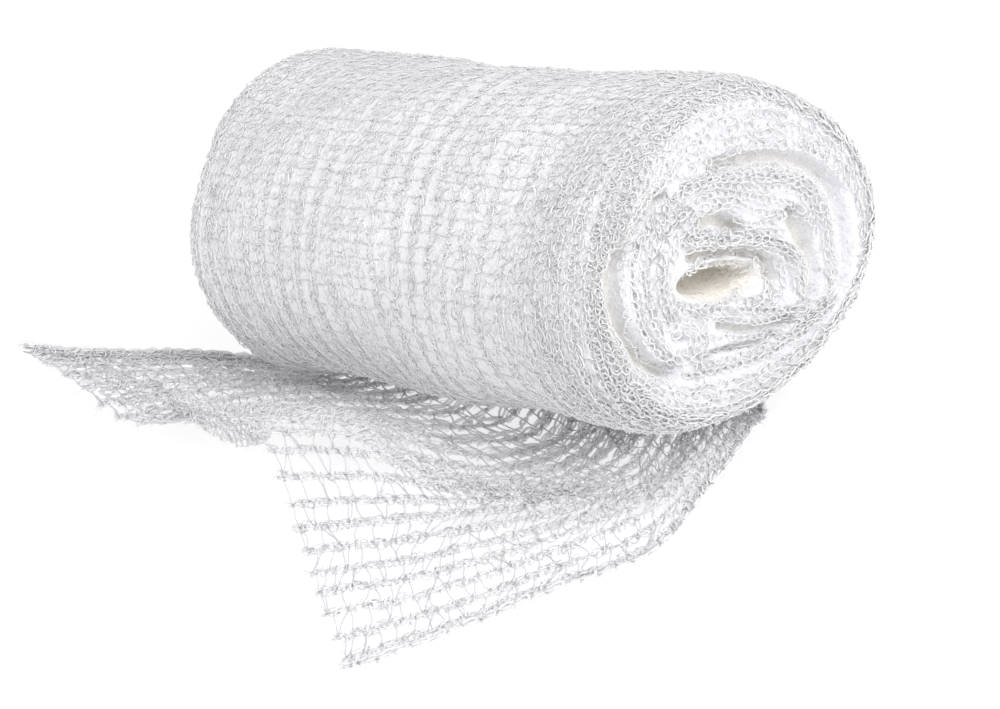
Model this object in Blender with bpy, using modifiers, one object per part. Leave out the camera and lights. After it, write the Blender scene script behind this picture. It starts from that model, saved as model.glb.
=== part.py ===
"""Gauze bandage roll, wound on itself, with its loose end drawn out in front and lying on the surface.

The roll is one solid of its wound form: an oval section that changes along its length, soft shoulders, a
telescoped near end with the gap between the outer wrap and the inner coil, and a crushed core. The loose
end is a second solid, a sheet of the cloth's thickness: it leaves the underside of the roll, rests on the
surface, gathers at its right side, crests in the middle and runs out to a slanting cut.

Sizes below are in millimetres. Along is counted from the near end towards the far end, so it is never
positive on the roll. Side is towards +Y and up is square to both.
"""

import math

import bmesh
import bpy
from mathutils import Vector

MM = 0.001
NAME = "gauze_bandage_roll"

# Roll: place, length and lean
ROLL_LENGTH = 91.0
LEAN_DEG = 3.85
NEAR_CENTRE = Vector((58.7, 18.0, 31.0))
FLAT_SPOT = 1.6
SHOULDER_NEAR = 8.0
SHOULDER_FAR = 5.0
FACE_SHARE_NEAR = 0.85
FACE_SHARE_FAR = 0.88
ROUND_STEPS = 72
BODY_STEPS = 14
SHOULDER_STEPS = 5
FACE_STEPS_NEAR = 17
FACE_STEPS_FAR = 9

# Oval sections: half-width, half-height, turn of the long axis, height of the three lobes that the
# winding has slumped into, and the centre's shift to the side and up
SECTION_COLUMNS = ("along", "half_wide", "half_high", "turn_deg", "lobe", "side", "up")
SECTIONS = (
    (-91.0, 24.6, 22.9, 8.0, 0.2, -1.1, -0.2),
    (-60.0, 25.0, 22.2, 8.0, 0.6, -0.8, -0.3),
    (-30.0, 25.5, 21.7, 0.0, 1.2, -0.3, -0.2),
    (0.0, 26.8, 22.0, 4.0, 1.3, 0.6, -0.1),
)
LOBES = 3
LOBE_TURN_DEG = -27.0

# Soft unevenness of the wound body: height, waves around, waves along, phase
SWELL_COLUMNS = ("height", "around", "along", "phase_deg")
SWELLS = (
    (0.35, 3, 1.5, 20.0),
    (0.25, 5, 2.5, 140.0),
    (0.18, 2, 4.0, 260.0),
)

# Grooves of the near face, each along a line of points (side, up) in the face
GROOVE_COLUMNS = ("name", "deep", "half_wide", "line")
GROOVES = (
    ("wrap_gap_top", 4.0, 2.1, ((-13.0, 12.0), (-5.0, 14.0), (2.0, 12.2), (10.5, 9.9), (16.3, 5.6), (18.6, -3.0))),
    ("wrap_gap_right", 2.6, 1.8, ((18.6, -3.0), (16.6, -10.4), (11.0, -14.6))),
    ("wrap_gap_left", 5.0, 2.6, ((-13.0, 12.0), (-18.4, 8.8), (-21.4, 4.8), (-21.6, -1.0), (-19.4, -7.0))),
    ("second_turn", 2.4, 1.6, ((-8.0, 5.2), (-0.5, 6.5), (3.4, 2.2), (8.5, 1.2), (12.0, -4.4), (10.6, -9.2))),
    ("third_turn", 1.8, 1.6, ((-15.5, 0.5), (-13.0, -7.5), (-5.5, -12.0), (2.0, -10.5))),
)
CORE = Vector((-4.4, -1.9))
CORE_HALF_LONG = 6.2
CORE_HALF_HIGH = 2.8
CORE_TURN_DEG = -17.0
CORE_DEEP = 10.0
INNER_COIL_SET_BACK = 1.2

# Far face: a plain wound spiral
FAR_TURNS = 4.0
FAR_GROOVE_DEEP = 1.0
FAR_CORE_DEEP = 4.0
FAR_CORE_SHARE = 0.16

# Loose end: the cloth's thickness and its distance to the roll
CLOTH = 1.2
CLEARANCE = 0.4
ACROSS_STEPS = 42
ALONG_STEPS = 30
HEM_SWELL = 0.25

# Yarn lines of the loose end, from the cut edge to the root on the far side of the roll's underside.
# across is the share of the width from the near selvedge. Each place is (along, side, height over the
# surface), seen from the near centre's foot.
LINE_PLACES = ("cut", "first", "second", "third", "fourth", "under", "floor", "root")
YARN_LINES = (
    (0.00, ((-19, -63, 0.6), (-13, -52, 0.6), (-7, -38, 0.6), (-1, -26, 0.6), (-1.5, -13.5, 3.5), (-2, -4, 6.5),
            (-9, 5, 3.5), (-16, 13, 10.0))),
    (0.13, ((-34, -55, 2.0), (-25, -45, 1.2), (-16, -31, 1.0), (-8, -19, 2.5), (-7, -10, 5.0), (-10, -2, 5.5),
            (-17, 8, 0.6), (-20, 14, 9.0))),
    (0.26, ((-42, -50, 6.5), (-32, -40, 5.0), (-22, -28, 3.0), (-12, -17, 3.5), (-12, -9, 5.5), (-18, 0, 6.0),
            (-28, 9, 0.6), (-30, 15, 9.0))),
    (0.45, ((-55, -43, 16.0), (-42, -37, 14.5), (-34, -33, 9.0), (-25, -25, 5.5), (-22, -14, 5.0), (-28, -2, 5.5),
            (-42, 9, 0.6), (-45, 15, 9.0))),
    (0.60, ((-74, -38, 12.0), (-61, -33, 13.5), (-48, -28, 11.0), (-40, -21, 6.5), (-38, -12, 3.5), (-44, -2, 4.0),
            (-56, 9, 0.6), (-58, 15, 8.0))),
    (0.74, ((-97, -39, 7.0), (-88, -34, 8.0), (-80, -28, 8.0), (-73, -20, 6.0), (-67, -12, 2.5), (-66, -3, 0.6),
            (-68, 8, 0.6), (-69, 15, 8.0))),
    (0.87, ((-108, -39, 11.0), (-100, -33, 10.0), (-94, -25, 7.5), (-88, -18, 4.5), (-83, -11, 1.6), (-80, -3, 0.6),
            (-79, 8, 0.6), (-79, 15, 8.0))),
    (1.00, ((-118, -40, 16.0), (-110, -33, 13.0), (-103, -24, 9.5), (-97, -16, 5.5), (-93, -10, 1.8), (-90, -3, 0.6),
            (-88, 8, 0.6), (-88, 15, 8.0))),
)

# Finish of both solids: bleached viscose and cotton yarn
CLOTH_COLOUR = (0.86, 0.86, 0.85, 1.0)
CLOTH_ROUGHNESS = 0.85


def catmull_rom(places, at):
    """A point on the smooth curve through places, at counted in steps from the first."""
    last = len(places) - 1
    start = min(int(at), last - 1)
    part = at - start
    before = places[max(start - 1, 0)]
    here = places[start]
    there = places[start + 1]
    after = places[min(start + 2, last)]
    return tuple(
        0.5 * (2 * b + (c - a) * part + (2 * a - 5 * b + 4 * c - d) * part**2 + (3 * b - a - 3 * c + d) * part**3)
        for a, b, c, d in zip(before, here, there, after)
    )


def place_in_table(keys, value):
    """Where value lies among rising keys, counted in steps."""
    for step in range(len(keys) - 1):
        if value <= keys[step + 1]:
            return step + (value - keys[step]) / (keys[step + 1] - keys[step])
    return float(len(keys) - 1)


def section_at(along):
    """The oval section at a place along the roll, by column name."""
    at = place_in_table([row[0] for row in SECTIONS], max(along, SECTIONS[0][0]))
    return dict(zip(SECTION_COLUMNS, catmull_rom(SECTIONS, max(at, 0.0))))


def swell(along, angle):
    """Height of the soft unevenness of the wound body."""
    total = 0.0
    for height, around, waves, phase in SWELLS:
        total += height * math.sin(around * angle + math.radians(phase) + math.tau * waves * along / ROLL_LENGTH)
    return total


def section_radius(along, angle):
    """Distance from the section's own centre to the wound surface."""
    row = section_at(along)
    turned = angle - math.radians(row["turn_deg"])
    wide = row["half_wide"]
    high = row["half_high"]
    oval = wide * high / math.hypot(high * math.cos(turned), wide * math.sin(turned))
    lobes = row["lobe"] * math.cos(LOBES * (angle - math.radians(LOBE_TURN_DEG)))
    return oval + lobes + swell(along, angle)


def roll_to_world(along, side, up):
    """A point of the roll's own frame, in the part's frame."""
    lean = math.radians(LEAN_DEG)
    x = along * math.cos(lean) - up * math.sin(lean)
    z = along * math.sin(lean) + up * math.cos(lean)
    return NEAR_CENTRE + Vector((x, side, z))


def world_to_roll(point):
    """A point of the part's frame as (along, side, up)."""
    lean = math.radians(LEAN_DEG)
    x, side, z = point - NEAR_CENTRE
    along = x * math.cos(lean) + z * math.sin(lean)
    up = -x * math.sin(lean) + z * math.cos(lean)
    return along, side, up


def distance_to_line(point, line):
    """The least distance from a point to a line through several points, in the face."""
    best = math.inf
    for first, second in zip(line, line[1:]):
        start = Vector(first)
        run = Vector(second) - start
        share = max(0.0, min(1.0, (point - start).dot(run) / run.length_squared))
        best = min(best, (point - start - run * share).length)
    return best


def near_relief(side, up):
    """How far the near face lies behind its rim."""
    point = Vector((side, up))
    depth = INNER_COIL_SET_BACK * max(0.0, 1.0 - (point.length / 20.0) ** 4)
    for _, deep, half_wide, line in GROOVES:
        depth += deep * math.exp(-((distance_to_line(point, line) / half_wide) ** 2))
    turn = math.radians(CORE_TURN_DEG)
    away = point - CORE
    long = away.x * math.cos(turn) + away.y * math.sin(turn)
    high = -away.x * math.sin(turn) + away.y * math.cos(turn)
    reach = math.hypot(long / CORE_HALF_LONG, high / CORE_HALF_HIGH)
    return min(depth + CORE_DEEP * math.exp(-(reach**3)), CORE_DEEP)


def far_relief(share, angle):
    """How far the far face lies inside its rim: a wound spiral round a small hole."""
    groove = 0.5 - 0.5 * math.cos(math.tau * FAR_TURNS * share - angle)
    fade = max(0.0, 1.0 - (share / FACE_SHARE_FAR) ** 6)
    return fade * FAR_GROOVE_DEEP * groove + FAR_CORE_DEEP * math.exp(-((share / FAR_CORE_SHARE) ** 2))


def roll_rings():
    """The roll's rings as (along, share of the section), from the far face's middle to the near one's."""
    rings = [(-ROLL_LENGTH, FACE_SHARE_FAR * step / FACE_STEPS_FAR) for step in range(1, FACE_STEPS_FAR + 1)]
    for step in range(1, SHOULDER_STEPS):
        turn = math.pi / 2 * step / SHOULDER_STEPS
        share = FACE_SHARE_FAR + (1 - FACE_SHARE_FAR) * math.sin(turn)
        rings.append((-ROLL_LENGTH + SHOULDER_FAR * (1 - math.cos(turn)), share))
    straight = ROLL_LENGTH - SHOULDER_NEAR - SHOULDER_FAR
    for step in range(BODY_STEPS + 1):
        rings.append((-ROLL_LENGTH + SHOULDER_FAR + straight * step / BODY_STEPS, 1.0))
    for step in range(1, SHOULDER_STEPS):
        turn = math.pi / 2 * step / SHOULDER_STEPS
        share = FACE_SHARE_NEAR + (1 - FACE_SHARE_NEAR) * math.cos(turn)
        rings.append((-SHOULDER_NEAR * (1 - math.sin(turn)), share))
    for step in range(FACE_STEPS_NEAR):
        rings.append((0.0, FACE_SHARE_NEAR * (1 - step / FACE_STEPS_NEAR)))
    return rings


def roll_point(along, share, angle):
    """A point of the roll's surface in the part's frame, above its flat spot."""
    row = section_at(along)
    radius = share * section_radius(along, angle)
    side = radius * math.cos(angle)
    up = radius * math.sin(angle)
    if along >= 0.0:
        along -= near_relief(side + row["side"], up + row["up"])
    elif along <= -ROLL_LENGTH:
        along += far_relief(share, angle)
    point = roll_to_world(along, side + row["side"], up + row["up"])
    point.z = max(point.z, FLAT_SPOT)
    return point


def shown_object(name, mesh, material, collection):
    """An object of a finished mesh, shaded smooth."""
    mesh.materials.append(material)
    mesh.shade_smooth()
    thing = bpy.data.objects.new(name, mesh)
    collection.objects.link(thing)
    return thing


def make_roll(material, collection):
    """The wound roll: a loft of unlike oval sections, closed at each face by a fan."""
    build = bmesh.new()
    rings = []
    for along, share in roll_rings():
        angles = [math.tau * step / ROUND_STEPS for step in range(ROUND_STEPS)]
        rings.append([build.verts.new(roll_point(along, share, angle) * MM) for angle in angles])
    far_middle = build.verts.new(roll_point(-ROLL_LENGTH, 0.0, 0.0) * MM)
    near_middle = build.verts.new(roll_point(0.0, 0.0, 0.0) * MM)
    for low, high in zip(rings, rings[1:]):
        for step in range(ROUND_STEPS):
            after = (step + 1) % ROUND_STEPS
            build.faces.new((low[step], low[after], high[after], high[step]))
    for step in range(ROUND_STEPS):
        after = (step + 1) % ROUND_STEPS
        build.faces.new((far_middle, rings[0][after], rings[0][step]))
        build.faces.new((near_middle, rings[-1][step], rings[-1][after]))
    bmesh.ops.recalc_face_normals(build, faces=build.faces)
    mesh = bpy.data.meshes.new("roll")
    build.to_mesh(mesh)
    build.free()
    return shown_object("roll", mesh, material, collection)


def clear_of_roll(point):
    """The point, moved out of the roll by the cloth's half thickness and the clearance."""
    along, side, up = world_to_roll(point)
    if along < -ROLL_LENGTH - CLEARANCE - CLOTH / 2 or along > 0.0:
        return point
    row = section_at(along)
    away = Vector((side - row["side"], up - row["up"]))
    least = section_radius(along, math.atan2(away.y, away.x)) + CLEARANCE + CLOTH / 2
    if away.length >= least:
        return point
    away *= least / away.length
    return roll_to_world(along, away.x + row["side"], away.y + row["up"])


def cloth_point(across, along):
    """The middle of the loose end's thickness; across from the near selvedge, along from the cut edge."""
    last = len(LINE_PLACES) - 1
    lines = [catmull_rom(places, along * last) for _, places in YARN_LINES]
    x, y, z = catmull_rom(lines, place_in_table([row[0] for row in YARN_LINES], across))
    ripple = HEM_SWELL * math.sin(math.tau * 5.0 * across) * (1 - along)
    point = Vector((NEAR_CENTRE.x + x, NEAR_CENTRE.y + y, max(z + ripple, CLOTH / 2)))
    point = clear_of_roll(point)
    point.z = max(point.z, CLOTH / 2)
    return point


def make_loose_end(material, collection):
    """The loose end: an open surface with a thickness, flat where it lies on the surface."""
    build = bmesh.new()
    bmesh.ops.create_grid(build, x_segments=ACROSS_STEPS, y_segments=ALONG_STEPS, size=0.5)
    for vert in build.verts:
        vert.co = cloth_point(vert.co.x + 0.5, vert.co.y + 0.5) * MM
    bmesh.ops.recalc_face_normals(build, faces=build.faces)
    sheet = bpy.data.meshes.new("loose_end_sheet")
    build.to_mesh(sheet)
    build.free()
    guide = bpy.data.objects.new("loose_end_guide", sheet)
    collection.objects.link(guide)
    wall = guide.modifiers.new("cloth_thickness", "SOLIDIFY")
    wall.thickness = CLOTH * MM
    wall.offset = 0.0
    wall.use_even_offset = True
    wall.thickness_clamp = 1.0
    graph = bpy.context.evaluated_depsgraph_get()
    mesh = bpy.data.meshes.new_from_object(guide.evaluated_get(graph))
    bpy.data.objects.remove(guide)
    mesh.name = "loose_end"
    for vert in mesh.vertices:
        vert.co.z = max(vert.co.z, 0.0)
    return shown_object("loose_end", mesh, material, collection)


def bleached_yarn():
    """The cloth's plain finish."""
    material = bpy.data.materials.new("bleached_yarn")
    material.use_nodes = True
    shader = material.node_tree.nodes["Principled BSDF"]
    shader.inputs["Base Color"].default_value = CLOTH_COLOUR
    shader.inputs["Roughness"].default_value = CLOTH_ROUGHNESS
    shader.inputs["Metallic"].default_value = 0.0
    return material


def main():
    """Clears the scene and makes both solids in the object's own collection."""
    for thing in list(bpy.data.objects):
        bpy.data.objects.remove(thing)
    collection = bpy.data.collections.new(NAME)
    bpy.context.scene.collection.children.link(collection)
    make_roll(bleached_yarn(), collection)
    make_loose_end(bleached_yarn(), collection)


main()
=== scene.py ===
"""The looks of a gauze bandage roll: chain-stitched gauze wound on itself, with its loose end drawn out.

The frame holds two solids, the wound roll and the loose end. This script lays real chain-stitch yarns,
cross threads and stray fibres on both, in the same frame, and lights them on a pale floor.

Sizes are in millimetres unless a name says otherwise. Along is counted from the roll's near face towards
its far face, side is towards +Y and up is square to both, as in the part's source.
"""

import logging
import math
from dataclasses import dataclass, field
from enum import Enum
from typing import Any, Iterable, Sequence

import bpy
import numpy as np
from mathutils import Matrix, Vector


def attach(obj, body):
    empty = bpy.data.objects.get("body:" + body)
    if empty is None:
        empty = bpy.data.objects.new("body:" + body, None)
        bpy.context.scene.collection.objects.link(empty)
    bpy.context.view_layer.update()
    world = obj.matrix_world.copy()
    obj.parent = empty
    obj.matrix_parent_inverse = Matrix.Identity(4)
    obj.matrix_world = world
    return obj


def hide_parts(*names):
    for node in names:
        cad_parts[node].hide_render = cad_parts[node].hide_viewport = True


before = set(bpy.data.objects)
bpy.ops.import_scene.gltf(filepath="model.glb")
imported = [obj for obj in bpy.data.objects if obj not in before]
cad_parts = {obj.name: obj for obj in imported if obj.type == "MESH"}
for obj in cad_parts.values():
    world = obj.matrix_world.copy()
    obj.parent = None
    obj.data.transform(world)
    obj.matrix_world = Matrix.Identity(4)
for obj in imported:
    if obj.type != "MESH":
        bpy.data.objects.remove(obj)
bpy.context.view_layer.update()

LOG = logging.getLogger("gauze_bandage_roll")
MM = 0.001
Line = tuple[tuple[float, float], ...]
Line3 = tuple[tuple[float, float, float], ...]

# Knit of the gauze: its rows of chain stitches, the double row on each selvedge, and the loops in a row
WALE_GAP = 4.0
SELVEDGE_GAP = 1.9
SELVEDGE_TO_FIRST = 5.5
INNER_ROWS = 21
LOOP_PITCH = 2.3
CLOTH_WIDTH = 91.0
THREAD_SIDES = 3

# The roll's own frame
ROLL_LENGTH = 91.0
LEAN_DEG = 3.85
NEAR_CENTRE = np.array((58.7, 18.0, 31.0))
FLAT_SPOT = 1.6
# Columns of the roll's table of sections
ALONG, HALF_WIDE, HALF_HIGH, TURN_DEG, LOBE, SIDE, UP = range(7)
# Over the profile, from the far face's edge to the near one's, with the shoulders counted at this radius
SHOULDER_RADIUS = 24.0
PROFILE_LENGTH = 93.0
# Turns angles on the faces into lengths, roughly
FACE_RADIUS = 20.0
# Wavelengths that fit a whole number of times into a turn of this radius, so that a row meets itself
TURN_RADIUS = 25.0
TURN_WAVES = (157.08, 52.36, 26.18, 17.45)

# Camera: where the near face's middle stands from it, and how it is turned
AZIMUTH_DEG = 54.28
ELEVATION_DEG = 25.0
ROLL_DEG = 16.0
NEAR_FACE_AWAY = 410.0
NEAR_FACE_RIGHT = 30.8
NEAR_FACE_UP = 12.8
LENS = 114.95
SENSOR = 36.0


def cubic(
    before: np.ndarray, here: np.ndarray, there: np.ndarray, after: np.ndarray, part: np.ndarray
) -> np.ndarray:
    """A smooth curve through evenly spaced values.

    Args:
        before: the value before the span.
        here: the value at its start.
        there: the value at its end.
        after: the value past its end.
        part: the share of the span that has been gone.

    Returns:
        The curve's values.
    """
    linear = there - before
    square = 2 * before - 5 * here + 4 * there - after
    cube = 3 * here - before - 3 * there + after
    return 0.5 * (2 * here + linear * part + square * part**2 + cube * part**3)


def smooth_rows(rows: np.ndarray, at: np.ndarray) -> np.ndarray:
    """Read a table on a smooth curve through its rows.

    Args:
        rows: the table, first axis the rows.
        at: places in the table, counted in rows from the first.

    Returns:
        One row for each place.
    """
    rows = np.asarray(rows, float)
    at = np.clip(np.asarray(at, float), 0, len(rows) - 1)
    start = np.minimum(at.astype(int), len(rows) - 2)
    part = (at - start).reshape(at.shape + (1,) * (rows.ndim - 1))
    before = rows[np.maximum(start - 1, 0)]
    after = rows[np.minimum(start + 2, len(rows) - 1)]
    return cubic(before, rows[start], rows[start + 1], after, part)


def rows_at(keys: Sequence[float], values: np.ndarray) -> np.ndarray:
    """Where values lie among rising keys, counted in steps."""
    return np.interp(values, keys, np.arange(len(keys)))


def unit(vectors: np.ndarray) -> np.ndarray:
    """The vectors at length one."""
    return vectors / np.maximum(np.linalg.norm(vectors, axis=-1, keepdims=True), 1e-9)


def distance_to_line(points: np.ndarray, line: Line) -> np.ndarray:
    """The least distance from each point to a line through several points.

    Args:
        points: points in the face, last axis side and up.
        line: the line's points.

    Returns:
        One distance for each point.
    """
    best = np.full(points.shape[:-1], np.inf)
    for first, second in zip(line, line[1:]):
        start = np.array(first, float)
        run = np.array(second, float) - start
        share = np.clip(((points - start) @ run) / (run @ run), 0, 1)
        away = points - start - share[..., None] * run
        best = np.minimum(best, np.linalg.norm(away, axis=-1))
    return best


@dataclass(frozen=True)
class Groove:
    """A gap between turns that opens on the near face.

    Args:
        deep: how far it goes in.
        half_wide: half its width.
        line: points (side, up) along it.
    """

    deep: float
    half_wide: float
    line: Line


@dataclass
class RollForm:
    """The wound roll's form: its sections along the axis and the relief of its two faces."""

    sections: np.ndarray = field(
        default_factory=lambda: np.array(
            (
                (-91.0, 24.6, 22.9, 8.0, 0.2, -1.1, -0.2),
                (-60.0, 25.0, 22.2, 8.0, 0.6, -0.8, -0.3),
                (-30.0, 25.5, 21.7, 0.0, 1.2, -0.3, -0.2),
                (0.0, 26.8, 22.0, 4.0, 1.3, 0.6, -0.1),
            )
        )
    )
    swells: tuple[tuple[float, int, float, float], ...] = (
        # height, waves around, waves along, phase in degrees
        (0.35, 3, 1.5, 20.0),
        (0.25, 5, 2.5, 140.0),
        (0.18, 2, 4.0, 260.0),
    )
    grooves: tuple[Groove, ...] = (
        # the gap inside the outer wrap, over the top and down the right
        Groove(2.3, 1.0, ((1.2, 11.8), (5.8, 10.6), (11.0, 8.6), (14.5, 6.2), (17.3, 3.4), (18.7, 0.6))),
        Groove(2.3, 1.2, ((18.7, 0.6), (19.0, -2.6), (18.6, -6.0), (17.4, -9.7), (15.3, -12.4))),
        # the gap inside the outer wrap, down the left
        Groove(2.8, 0.9, ((-8.6, 12.5), (-12.0, 11.5), (-14.9, 10.4), (-17.9, 8.7))),
        Groove(
            3.8, 1.3, ((-17.9, 8.7), (-19.9, 6.3), (-20.9, 3.1), (-21.1, 0.0), (-20.4, -3.4), (-18.7, -6.5))
        ),
        Groove(3.4, 1.0, ((-18.7, -6.5), (-16.4, -9.0))),
        # under the fold's two peaks
        Groove(2.6, 0.9, ((-3.6, 5.7), (-0.8, 5.5), (2.2, 2.7))),
        Groove(3.0, 1.0, ((11.6, 0.0), (12.0, -2.8), (12.4, -5.8), (12.0, -9.0), (10.4, -10.8))),
        # between the looped edge and the inner curl
        Groove(2.6, 0.8, ((-6.4, 2.7), (-2.5, 1.3), (1.0, -0.1), (4.6, -2.3), (6.0, -4.4), (5.6, -6.4))),
        # slits between the lower turns
        Groove(2.0, 0.7, ((-5.1, -7.7), (-1.9, -10.0), (2.4, -11.8), (6.3, -12.6))),
        Groove(1.6, 0.5, ((-9.5, -10.2), (-6.4, -10.9), (-1.8, -12.4), (2.9, -13.3))),
        Groove(1.3, 0.5, ((-14.4, 8.4), (-16.6, 5.5), (-17.5, 2.0), (-17.5, -2.0), (-16.5, -5.0))),
        Groove(1.3, 0.5, ((-7.0, 7.9), (-10.0, 6.8), (-13.6, 4.6), (-14.8, 1.4), (-14.6, -1.6))),
        Groove(1.2, 0.5, ((-12.9, -5.6), (-11.8, -6.4))),
    )
    core: tuple[float, float] = (-2.3, -2.9)
    core_half: tuple[float, float] = (5.6, 1.95)
    core_turn_deg: float = -20.0
    core_deep: float = 10.0
    inner_set_back: float = 1.2
    lobe_turn_deg: float = -27.0
    shoulder_near: float = 8.0
    shoulder_far: float = 5.0
    face_share_near: float = 0.85
    face_share_far: float = 0.88
    coils_far: int = 4
    far_middle_deep: float = 4.0
    far_middle_share: float = 0.16
    shoulder_rings: int = 10

    def row(self, along: np.ndarray) -> np.ndarray:
        """The section's values at places along the roll."""
        return smooth_rows(self.sections, rows_at(self.sections[:, ALONG], along))

    def radius(self, along: np.ndarray, angle: np.ndarray) -> np.ndarray:
        """Distance from the section's own centre to the wound surface.

        Args:
            along: places along the roll.
            angle: directions in the section, from side towards up.

        Returns:
            One distance for each place.
        """
        row = self.row(along)
        turned = angle - np.radians(row[..., TURN_DEG])
        wide = row[..., HALF_WIDE]
        high = row[..., HALF_HIGH]
        oval = wide * high / np.hypot(high * np.cos(turned), wide * np.sin(turned))
        lobes = row[..., LOBE] * np.cos(3 * (angle - math.radians(self.lobe_turn_deg)))
        swell = np.zeros_like(oval)
        for height, around, waves, phase in self.swells:
            turned = around * angle + math.radians(phase)
            swell += height * np.sin(turned + math.tau * waves * along / ROLL_LENGTH)
        return oval + lobes + swell

    def place(self, along: np.ndarray, side: np.ndarray, up: np.ndarray) -> np.ndarray:
        """Points of the roll's frame in the part's frame.

        Args:
            along: places along the roll.
            side: places across it.
            up: heights square to both.

        Returns:
            The points.
        """
        lean = math.radians(LEAN_DEG)
        x = along * math.cos(lean) - up * math.sin(lean)
        z = along * math.sin(lean) + up * math.cos(lean)
        return NEAR_CENTRE + np.stack([x, side, z], axis=-1)

    def seen(self, points: np.ndarray) -> tuple[np.ndarray, np.ndarray, np.ndarray]:
        """Points of the part's frame in the roll's frame.

        Args:
            points: the points.

        Returns:
            Their places along, side and up.
        """
        lean = math.radians(LEAN_DEG)
        off = points - NEAR_CENTRE
        along = off[..., 0] * math.cos(lean) + off[..., 2] * math.sin(lean)
        up = -off[..., 0] * math.sin(lean) + off[..., 2] * math.cos(lean)
        return along, off[..., 1], up

    def axis(self) -> np.ndarray:
        """The direction from the far face to the near one."""
        return unit(self.place(1.0, 0.0, 0.0) - self.place(0.0, 0.0, 0.0))

    def rim_fade(self, share: np.ndarray) -> np.ndarray:
        """How much of the face's relief is left towards the rim, one inside and nothing at the rim."""
        return np.clip((0.985 - share) / 0.05, 0, 1)

    def near_relief(self, side: np.ndarray, up: np.ndarray) -> np.ndarray:
        """How far the near face lies behind its rim.

        Args:
            side: places on the face, sideways.
            up: places on the face, upwards.

        Returns:
            One depth for each place.
        """
        points = np.stack([side, up], axis=-1)
        reach = np.hypot(side, up)
        inner = self.inner_set_back * np.maximum(0, 1 - (reach / FACE_RADIUS) ** 4)
        depth = inner
        for groove in self.grooves:
            away = distance_to_line(points, groove.line) / groove.half_wide
            depth = np.maximum(depth, inner + groove.deep / (1 + away**6))
        turn = math.radians(self.core_turn_deg)
        off_side = side - self.core[0]
        off_up = up - self.core[1]
        long = off_side * math.cos(turn) + off_up * math.sin(turn)
        high = -off_side * math.sin(turn) + off_up * math.cos(turn)
        core = np.hypot(long / self.core_half[0], high / self.core_half[1])
        return np.maximum(depth, inner + self.core_deep / (1 + core**6))

    def surface(
        self, along: np.ndarray, share: np.ndarray, angle: np.ndarray, sink: float | np.ndarray
    ) -> np.ndarray:
        """Points of the wound surface.

        Args:
            along: places along the roll, with the faces at its two ends.
            share: share of the section's radius.
            angle: directions in the section.
            sink: how far under the surface, in millimetres.

        Returns:
            Points in the part's frame.
        """
        along, share, angle = np.broadcast_arrays(along, share, angle)
        row = self.row(along)
        radius = share * (self.radius(along, angle) - sink)
        side = radius * np.cos(angle) + row[..., SIDE]
        up = radius * np.sin(angle) + row[..., UP]
        on_near = (share < 1) & (along > -self.shoulder_near - 0.1)
        near = np.where(on_near, (self.near_relief(side, up) + sink) * self.rim_fade(share), 0)
        groove = 0.5 - 0.5 * np.cos(math.tau * self.coils_far * share - angle)
        inside = np.maximum(0, 1 - (share / self.face_share_far) ** 6)
        far = inside * groove + self.far_middle_deep * np.exp(-((share / self.far_middle_share) ** 2)) + sink
        moved = along - near + np.where(along <= -ROLL_LENGTH, far, 0)
        points = self.place(moved, side, up)
        points[..., 2] = np.maximum(points[..., 2], FLAT_SPOT + 0.5 * sink)
        return points

    def line(
        self, along: np.ndarray, share: np.ndarray, angle: np.ndarray, sink: float | np.ndarray
    ) -> tuple[np.ndarray, np.ndarray]:
        """Points of the wound surface and the way out of the roll there.

        Args:
            along: places along the roll.
            share: share of the section's radius.
            angle: directions in the section.
            sink: how far under the surface.

        Returns:
            The points and the outward directions.
        """
        points = self.surface(along, share, angle, sink)
        nearer_axis = self.surface(along, share * 0.97, angle, sink)
        return points, unit(points - nearer_axis)

    def near_depth(self, side: np.ndarray, up: np.ndarray) -> np.ndarray:
        """How far the near face and its shoulder lie behind the rim, with the relief.

        Args:
            side: places on the face, sideways.
            up: places on the face, upwards.

        Returns:
            One depth for each place.
        """
        row = self.sections[-1]
        off_side, off_up = side - row[SIDE], up - row[UP]
        share = np.hypot(off_side, off_up) / self.radius(np.zeros_like(side), np.arctan2(off_up, off_side))
        turned = np.clip((share - self.face_share_near) / (1 - self.face_share_near), 0, 1)
        drop = self.shoulder_near * (1 - np.sqrt(1 - turned**2))
        return drop + self.near_relief(side, up) * self.rim_fade(share)

    def profile(self, steps: int, face_steps: int) -> list[tuple[float, float]]:
        """The roll's rings as (along, share), from the far face's middle to the near one's.

        Args:
            steps: rings along the straight body.
            face_steps: rings on each face.

        Returns:
            The rings.
        """
        far, near = self.face_share_far, self.face_share_near
        rings = [(-ROLL_LENGTH, far * step / face_steps) for step in range(1, face_steps + 1)]
        turns = np.linspace(0, math.pi / 2, self.shoulder_rings + 2)[1:-1]
        for turn in turns:
            along = -ROLL_LENGTH + self.shoulder_far * (1 - math.cos(turn))
            rings.append((along, far + (1 - far) * math.sin(turn)))
        straight = np.linspace(-ROLL_LENGTH + self.shoulder_far, -self.shoulder_near, steps)
        rings += [(float(along), 1.0) for along in straight]
        for turn in turns:
            rings.append((-self.shoulder_near * (1 - math.sin(turn)), near + (1 - near) * math.cos(turn)))
        rings += [(0.0, near * (1 - step / face_steps)) for step in range(face_steps)]
        return rings


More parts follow.
